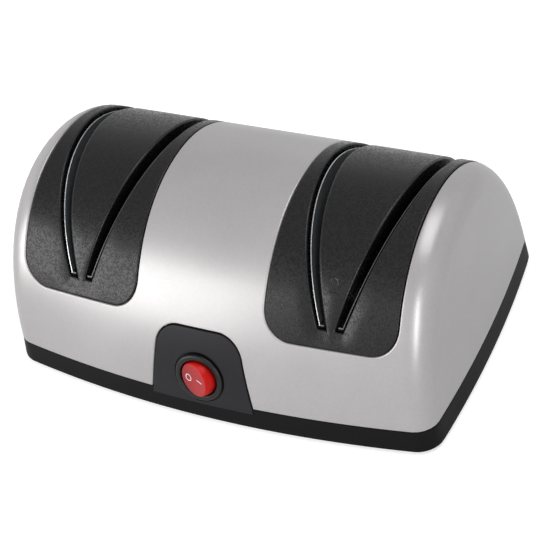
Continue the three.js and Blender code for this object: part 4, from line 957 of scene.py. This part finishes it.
def buildTray(look, seat):
    build = newBuild()
    loop, outward = planLine(look)
    quarter, top, r, wall = math.pi / 2, look["top"], look["topRound"], look["wall"]
    foot, chamfer, floor = look["foot"], look["chamfer"], look["floor"]
    slope = math.atan2(look["flare"], top - foot - chamfer)
    low = look["flare"] - chamfer
    lipOut, lipIn = look["lip"]
    band = ([(low, foot, 0, -1)] + edgeRound(low, foot + chamfer, chamfer, -quarter, slope)
            + edgeRound(-r, top - r, r, slope, quarter) + [(-lipOut, top, 0, 1)])
    sweepLoop(build, loop, outward, band)
    bandFaces = range(len(build["faces"]))
    lip = [(-lipOut, top, 1, 0), (-lipOut, look["lipTop"], 1, 0), (-lipOut, look["lipTop"], 0, 1),
           (-lipIn, look["lipTop"], 0, 1), (-lipIn, look["lipTop"], -1, 0), (-lipIn, top - wall, -1, 0),
           (-lipIn, top - wall, 0, -1), (-wall, top - wall, 0, -1), (-wall, top - wall, -1, 0),
           (-wall, floor, -1, 0)]
    sweepLoop(build, loop, outward, lip)
    holes = trayHoles(look)
    addLevel(build, [loop + outward * low] + [hole for hole, _ in holes], foot, -1, look["floorSpacing"])
    through = [hole for hole, height in holes if height == floor]
    addLevel(build, [loop - outward * wall] + through, floor, 1, look["floorSpacing"])
    for hole, height in holes:
        sweepLoop(build, hole, loopOffset(hole), [(0, foot, 1, 0), (0, height, 1, 0)])
        if height != floor:
            addLevel(build, [hole], height, -1, look["pocketSpacing"])
    # saddles that carry the motor and posts that carry the bushes
    y, z = moduleLook["axisY"], moduleLook["axisZ"]
    angle = np.linspace(math.pi, 2 * math.pi, look["cupSteps"])
    for side in (-1, 1):
        for middle, width, half, hollow in (look["saddle"], look["post"]):
            cup = np.stack([y + hollow * np.cos(angle), z + hollow * np.sin(angle)], -1)
            outline = np.concatenate([[(y - half, floor), (y - half, z)], cup,
                                      [(y + half, z), (y + half, floor)]])
            addBlockAlongX(build, outline, side * middle - width / 2, side * middle + width / 2)
    # panel: flush with the band below, a rounded edge along the gap, and a round recess for the switch
    centre, ex, ey, n = seatFrame(seat)

    def panelPoint(u, v):
        at = skinPoint(u, v)
        below = np.clip(top - at[..., 2], 0, None)
        proud = look["panelProud"] * np.clip(below / look["proudOver"], 0, 1)
        at[..., 1] = at[..., 1] - (look["flare"] * below / (top - foot - chamfer) + proud)
        return at

    line = panelLine(0, look["panelFoot"])
    outline = np.concatenate([line, spread(line[-1], line[0], look["footSpacing"])[1:]])
    outline = outline[::-1] if areaOf(outline) < 0 else outline
    height = skinPoint(outline[:, 0], outline[:, 1])[:, 2]
    radii = np.clip(height - top + look["edgeLead"], look["leastShare"], 1) * look["panelEdge"]
    inward = loopOffset(outline)
    # the recess is round about the switch's axis, so its ring is found on the skin step by step
    x, target = arc((0, 0), seat["recessR"], 0, 2 * math.pi, roundSteps).T
    v = np.full(len(x), seat["guess"])
    for _ in range(12):
        v = v + (target - (skinPoint(solveU(x, v), v) - centre) @ ey)
    ring = np.stack([solveU(x, v), v], -1)[::-1]
    ringIn = loopOffset(ring)
    loops = [outline + inward * radii[:, None], ring + ringIn * seat["recessEdge"]]
    addSkin(build, panelPoint, loops, look["panelSpacing"])
    addRows(build, *rimRows(panelPoint, outline, inward, radii, rimSteps, panel["wall"]), True)
    rows, normals = rimRows(panelPoint, ring, ringIn, seat["recessEdge"], seat["recessEdgeSteps"])
    addRows(build, rows, normals, True)
    edge = rows[-1]
    seatRing = edge - np.clip((edge - centre) @ n, seat["leastDepth"], None)[:, None] * n
    addRows(build, [edge, seatRing], [normals[-1], normals[-1]], True)
    flat = np.tile(n, (len(ring), 1))
    hole = centre + (seatRing - centre) * seat["holeR"] / seat["recessR"]
    addRows(build, [seatRing, hole], [flat, flat], True)
    tray = finishBuild(build, "trayWithPanel", finishes["tray"])
    # the band's faces take the etched finish, darker than the panel's as painted shade
    addSecondFinish(tray, finishes["band"], bandFaces)
    return tray


trayShell = buildTray(trayLook, switchLook)
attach(trayShell, "base")
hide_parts("tray")
print("tray made")

# The switch: a bezel with a rolled edge round a deep well. Heights are counted from its seat.
bezelLook = {"base": 0.05, "outerRound": 1.0, "outerSteps": 8, "innerRound": 0.55, "wellR": 8.5,
             "wellDepth": 10, "barrelR": 9.9, "barrelDepth": 12.7}


def buildSwitchBody(look, seat):
    build = newBuild()
    quarter = math.pi / 2
    r, proud, outer, inner = seat["bezelR"], seat["proud"], look["outerRound"], look["innerRound"]
    barrel, depth, base, well = look["barrelR"], look["barrelDepth"], look["base"], look["wellR"]
    innerRows = edgeRound(-(well + inner), proud - inner, inner, quarter, 0)
    section = ([(0, -depth, 0, -1), (barrel, -depth, 0, -1), (barrel, -depth, 1, 0), (barrel, base, 1, 0),
                (barrel, base, 0, -1), (r, base, 0, -1), (r, base, 1, 0)]
               + edgeRound(r - outer, proud - outer, outer, 0, quarter, look["outerSteps"])
               + [(-reach, height, -out, up) for reach, height, out, up in innerRows]
               + [(well, -look["wellDepth"], -1, 0), (well, -look["wellDepth"], 0, 1),
                  (0, -look["wellDepth"], 0, 1)])
    addTurned(build, seatFrame(seat), section)
    return finishBuild(build, "switchBezelAndWell", finishes["bezel"])


switchShell = buildSwitchBody(bezelLook, switchLook)
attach(switchShell, "base")
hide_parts("switch_body")

# The rocker: a ball cut off by a hollow face, at rest with its off side pressed in, and its printed marks.
# The ring has its middle and radius, the dash its two ends; the print stands a little over the face.
rockerLook = {"radius": 8.06, "face": 3.5, "dish": 0.3, "back": 6, "pivot": 0.3, "rest": 0.32, "edge": 0.45,
              "rimGuess": 7.5, "middle": 0.02, "faceSteps": 12, "edgeSteps": 6, "flankSteps": 13,
              "pinR": 0.9, "pinReach": 1.1, "pinSunk": 0.3, "pinTip": 0.01, "pinSteps": 24,
              "ring": (-3.2, 0.2, 1.65), "ringSteps": 48, "dash": ((1.7, 0.85), (4.9, 0.3)), "dashSteps": 8,
              "stroke": 0.34, "print": 0.03}


def rockerFrame(look, seat):
    centre, ex, ey, n = seatFrame(seat)
    turn = look["rest"]
    pivot = centre + n * look["pivot"]
    return pivot, ex * math.cos(turn) + n * math.sin(turn), ey, n * math.cos(turn) - ex * math.sin(turn)


def faceHeight(x, look):
    # height of the hollow face over the pivot, and its slope
    rim = math.sqrt(look["radius"] ** 2 - look["face"] ** 2)
    hollow = (rim ** 2 + look["dish"] ** 2) / (2 * look["dish"])
    root = np.sqrt(hollow ** 2 - x ** 2)
    return look["face"] - look["dish"] + hollow - root, x / root


def buildRocker(look, seat):
    build = newBuild()
    pivot, ex, ey, n = rockerFrame(look, seat)
    ball = look["radius"]
    way = arc((0, 0), 1, 0, 2 * math.pi, roundSteps)

    def turned(local):
        return local[..., :1] * ex + local[..., 1:2] * ey + local[..., 2:] * n

    def onFace(radius):
        x, y = radius * way[:, 0], radius * way[:, 1]
        z, slope = faceHeight(x, look)
        return np.stack([x, y, z], -1), unit(np.stack([-slope, np.zeros(len(x)), np.ones(len(x))], -1))

    def onBall(angle):
        # the ring of the ball at an angle over the pivot
        return np.column_stack([way * (ball * np.cos(angle))[:, None], ball * np.sin(angle)])

    rim = np.full(roundSteps, look["rimGuess"])
    for _ in range(20):
        rim = np.sqrt(ball ** 2 - faceHeight(rim * way[:, 0], look)[0] ** 2)
    shares = np.linspace(look["middle"], 1, look["faceSteps"])
    pairs = [onFace((rim - look["edge"]) * share) for share in shares]
    rows, normals = [row for row, _ in pairs], [normal for _, normal in pairs]
    # the edge bends from the face to the flank about the sharp corner that they would make
    sharp = onFace(rim)[0]
    lower = np.arcsin(sharp[:, 2] / ball) - look["edge"] / ball
    foot = onBall(lower)
    start, startNormal = rows[-1], normals[-1]
    for t in np.linspace(0, 1, look["edgeSteps"] + 1)[1:]:
        rows.append((1 - t) ** 2 * start + 2 * t * (1 - t) * sharp + t ** 2 * foot)
        normals.append(unit(startNormal * (1 - t) + foot / ball * t))
    bottom = -math.asin(look["back"] / ball)
    for share in np.linspace(0, 1, look["flankSteps"] + 1)[1:]:
        rows.append(onBall(lower + (bottom - lower) * share))
        normals.append(rows[-1] / ball)
    addRows(build, pivot + turned(np.array(rows)), turned(np.array(normals)), True)
    # caps in the middle of the face and at the back, and a pin at each end of the tilting line
    down = np.tile([0.0, 0, -1], (roundSteps, 1))
    capFace = len(build["faces"])
    for row, facing in ((rows[0], normals[0]), (rows[-1], down)):
        addPatch(build, pivot + turned(row), turned(facing), [list(range(roundSteps))])
    pin, reach = look["pinR"], look["pinReach"] + look["pinSunk"]
    for end in (-1, 1):
        axis = (pivot + ey * end * (ball - look["pinSunk"]), ex, n, ey * end)
        addTurned(build, axis, [(pin, 0, 1, 0), (pin, reach, 1, 0), (pin, reach, 0, 1),
                                (look["pinTip"], reach, 0, 1)], look["pinSteps"])
    rocker = finishBuild(build, "redRocker", finishes["rocker"])
    faceFaces = list(range(look["faceSteps"] * roundSteps)) + [capFace]
    addSecondFinish(rocker, finishes["rockerFace"], faceFaces)
    marks = newBuild()
    x, y, outer = look["ring"]
    ends = np.array(look["dash"])
    run = unit(ends[1] - ends[0])
    aside = np.array([-run[1], run[0]]) * look["stroke"] / 2
    around = arc((0, 0), 1, 0, 2 * math.pi, look["ringSteps"])
    dash = ends[0] + np.linspace(0, 1, look["dashSteps"])[:, None] * (ends[1] - ends[0])
    ringPair = [around * radius + (x, y) for radius in (outer, outer - look["stroke"])]
    for pair, closed in ((ringPair, True), ([dash + aside, dash - aside], False)):
        both = [pivot + turned(np.column_stack([edge, faceHeight(edge[:, 0], look)[0] + look["print"]]))
                for edge in pair]
        facing = np.tile(n, (len(pair[0]), 1))
        addRows(marks, both, [facing, facing], closed)
    return rocker, finishBuild(marks, "rockerMarks", finishes["print"])


rockerShell, rockerMarks = buildRocker(rockerLook, switchLook)
for thing in (rockerShell, rockerMarks):
    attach(thing, "rocker")
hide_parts("switch_rocker")
print("switch made")

# Light and floor. Lamps have azimuth from the front to the right, elevation, distance and sizes in m, and
# radiance. Ramps run along the direction of a ray, up (backdrop) and backwards (rear), from -1 to 1.
white = (1, 1, 1, 1)
stageLook = {"floorReach": 6, "paper": 0.7, "lift": 0.6, "mirroredLift": 0.28, "ambient": 0.5,
             "lighterSide": (-0.8, -0.6, 0), "uneven": 0.93, "backdrop": (0.4, 0.76), "ceiling": 0.64,
             "rear": (-0.3, 0.6), "rearLevel": 0.9,
             "lamps": {"frontStrip": (-40, 15, 1.2, 0.66, 0.64, 4.0),
                       "rightStrip": (43, 11, 1.2, 0.16, 0.8, 9.8),
                       "topBox": (104, 70, 1.2, 0.8, 0.8, 2.5),
                       "leftBox": (-60, 2, 1.2, 0.4, 0.5, 1.9)}}


def makeFloor(look):
    # white paper that keeps the shadow and is lifted to white for what looks at it
    mesh = bpy.data.meshes.new("floor")
    reach = look["floorReach"]
    corners = [(-reach, -reach, 0), (reach, -reach, 0), (reach, reach, 0), (-reach, reach, 0)]
    mesh.from_pydata(corners, [], [(0, 1, 2, 3)])
    floor = bpy.data.objects.new("floor", mesh)
    bpy.context.collection.objects.link(floor)
    paper = bpy.data.materials.new("whitePaper")
    paper.use_nodes = True
    tree = paper.node_tree
    ray = addNode(tree, "LightPath", {})
    mirrored = addNode(tree, "Math", {0: ray.outputs["Is Glossy Ray"], 1: look["mirroredLift"]},
                       operation="MULTIPLY")
    lift = addNode(tree, "Math", {0: ray.outputs["Is Camera Ray"], 1: look["lift"], 2: mirrored},
                   operation="MULTIPLY_ADD")
    feed(tree.nodes["Principled BSDF"], {
        "Base Color": (look["paper"],) * 3 + (1,), "Roughness": 1, "Specular IOR Level": 0,
        "Emission Color": white, "Emission Strength": lift})
    mesh.materials.append(paper)


def makeLamps(lamps):
    # softboxes: a broad one in front at the left, a narrow one at the right, one above and a dim one left
    for name, (azimuth, elevation, distance, width, height, radiance) in lamps.items():
        data = bpy.data.lights.new(name, "AREA")
        data.shape = "RECTANGLE"
        data.size, data.size_y = width, height
        data.energy = radiance * math.pi * width * height
        az, el = math.radians(azimuth), math.radians(elevation)
        lamp = bpy.data.objects.new(name, data)
        way = Vector((math.sin(az) * math.cos(el), -math.cos(az) * math.cos(el), math.sin(el)))
        lamp.location = way * distance
        lamp.rotation_euler = (-lamp.location).to_track_quat("-Z", "Y").to_euler()
        bpy.context.collection.objects.link(lamp)


def makeWorld(look):
    # a room that lights the object more from the front left, and looks white to the camera
    world = bpy.data.worlds.new("studio")
    bpy.context.scene.world = world
    world.use_nodes = True
    tree = world.node_tree
    soft = tree.nodes["Background"]
    way = addNode(tree, "TexCoord", {})
    side = addNode(tree, "VectorMath", {0: way, 1: look["lighterSide"]}, operation="DOT_PRODUCT")
    level = addNode(tree, "MapRange", {
        "Value": side.outputs["Value"], "From Min": -1.0, "From Max": 1.0,
        "To Min": look["ambient"] * (1 - look["uneven"]), "To Max": look["ambient"] * (1 + look["uneven"])})
    feed(soft, {"Color": white, "Strength": level})
    # what the object mirrors: a white backdrop up to a height, a dimmer ceiling over it, and a dimmer rear
    split = addNode(tree, "SeparateXYZ", {"Vector": way})
    ramps = []
    for axis, (start, stop), far in (("Z", look["backdrop"], look["ceiling"]),
                                     ("Y", look["rear"], look["rearLevel"])):
        ramps.append(addNode(tree, "MapRange", {
            "Value": split.outputs[axis], "From Min": start, "From Max": stop, "To Min": 1.0, "To Max": far},
            interpolation_type="SMOOTHSTEP"))
    mirrored = addNode(tree, "Math", {0: ramps[0], 1: ramps[1]}, operation="MULTIPLY")
    ray = addNode(tree, "LightPath", {})
    camera, glossy, through = (ray.outputs[f"Is {kind} Ray"] for kind in ("Camera", "Glossy", "Transmission"))
    strength = addNode(tree, "Math", {0: camera, 1: mirrored}, operation="MAXIMUM")
    seen = addNode(tree, "Background", {"Color": white, "Strength": strength})
    either = addNode(tree, "Math", {0: glossy, 1: through}, operation="MAXIMUM")
    looking = addNode(tree, "Math", {0: camera, 1: either}, operation="MAXIMUM")
    both = addNode(tree, "MixShader", {"Fac": looking, 1: soft, 2: seen})
    feed(tree.nodes["World Output"], {"Surface": both})


makeFloor(stageLook)
makeLamps(stageLook["lamps"])
makeWorld(stageLook)
bpy.context.scene.view_settings.view_transform = "Standard"
print("stage made")
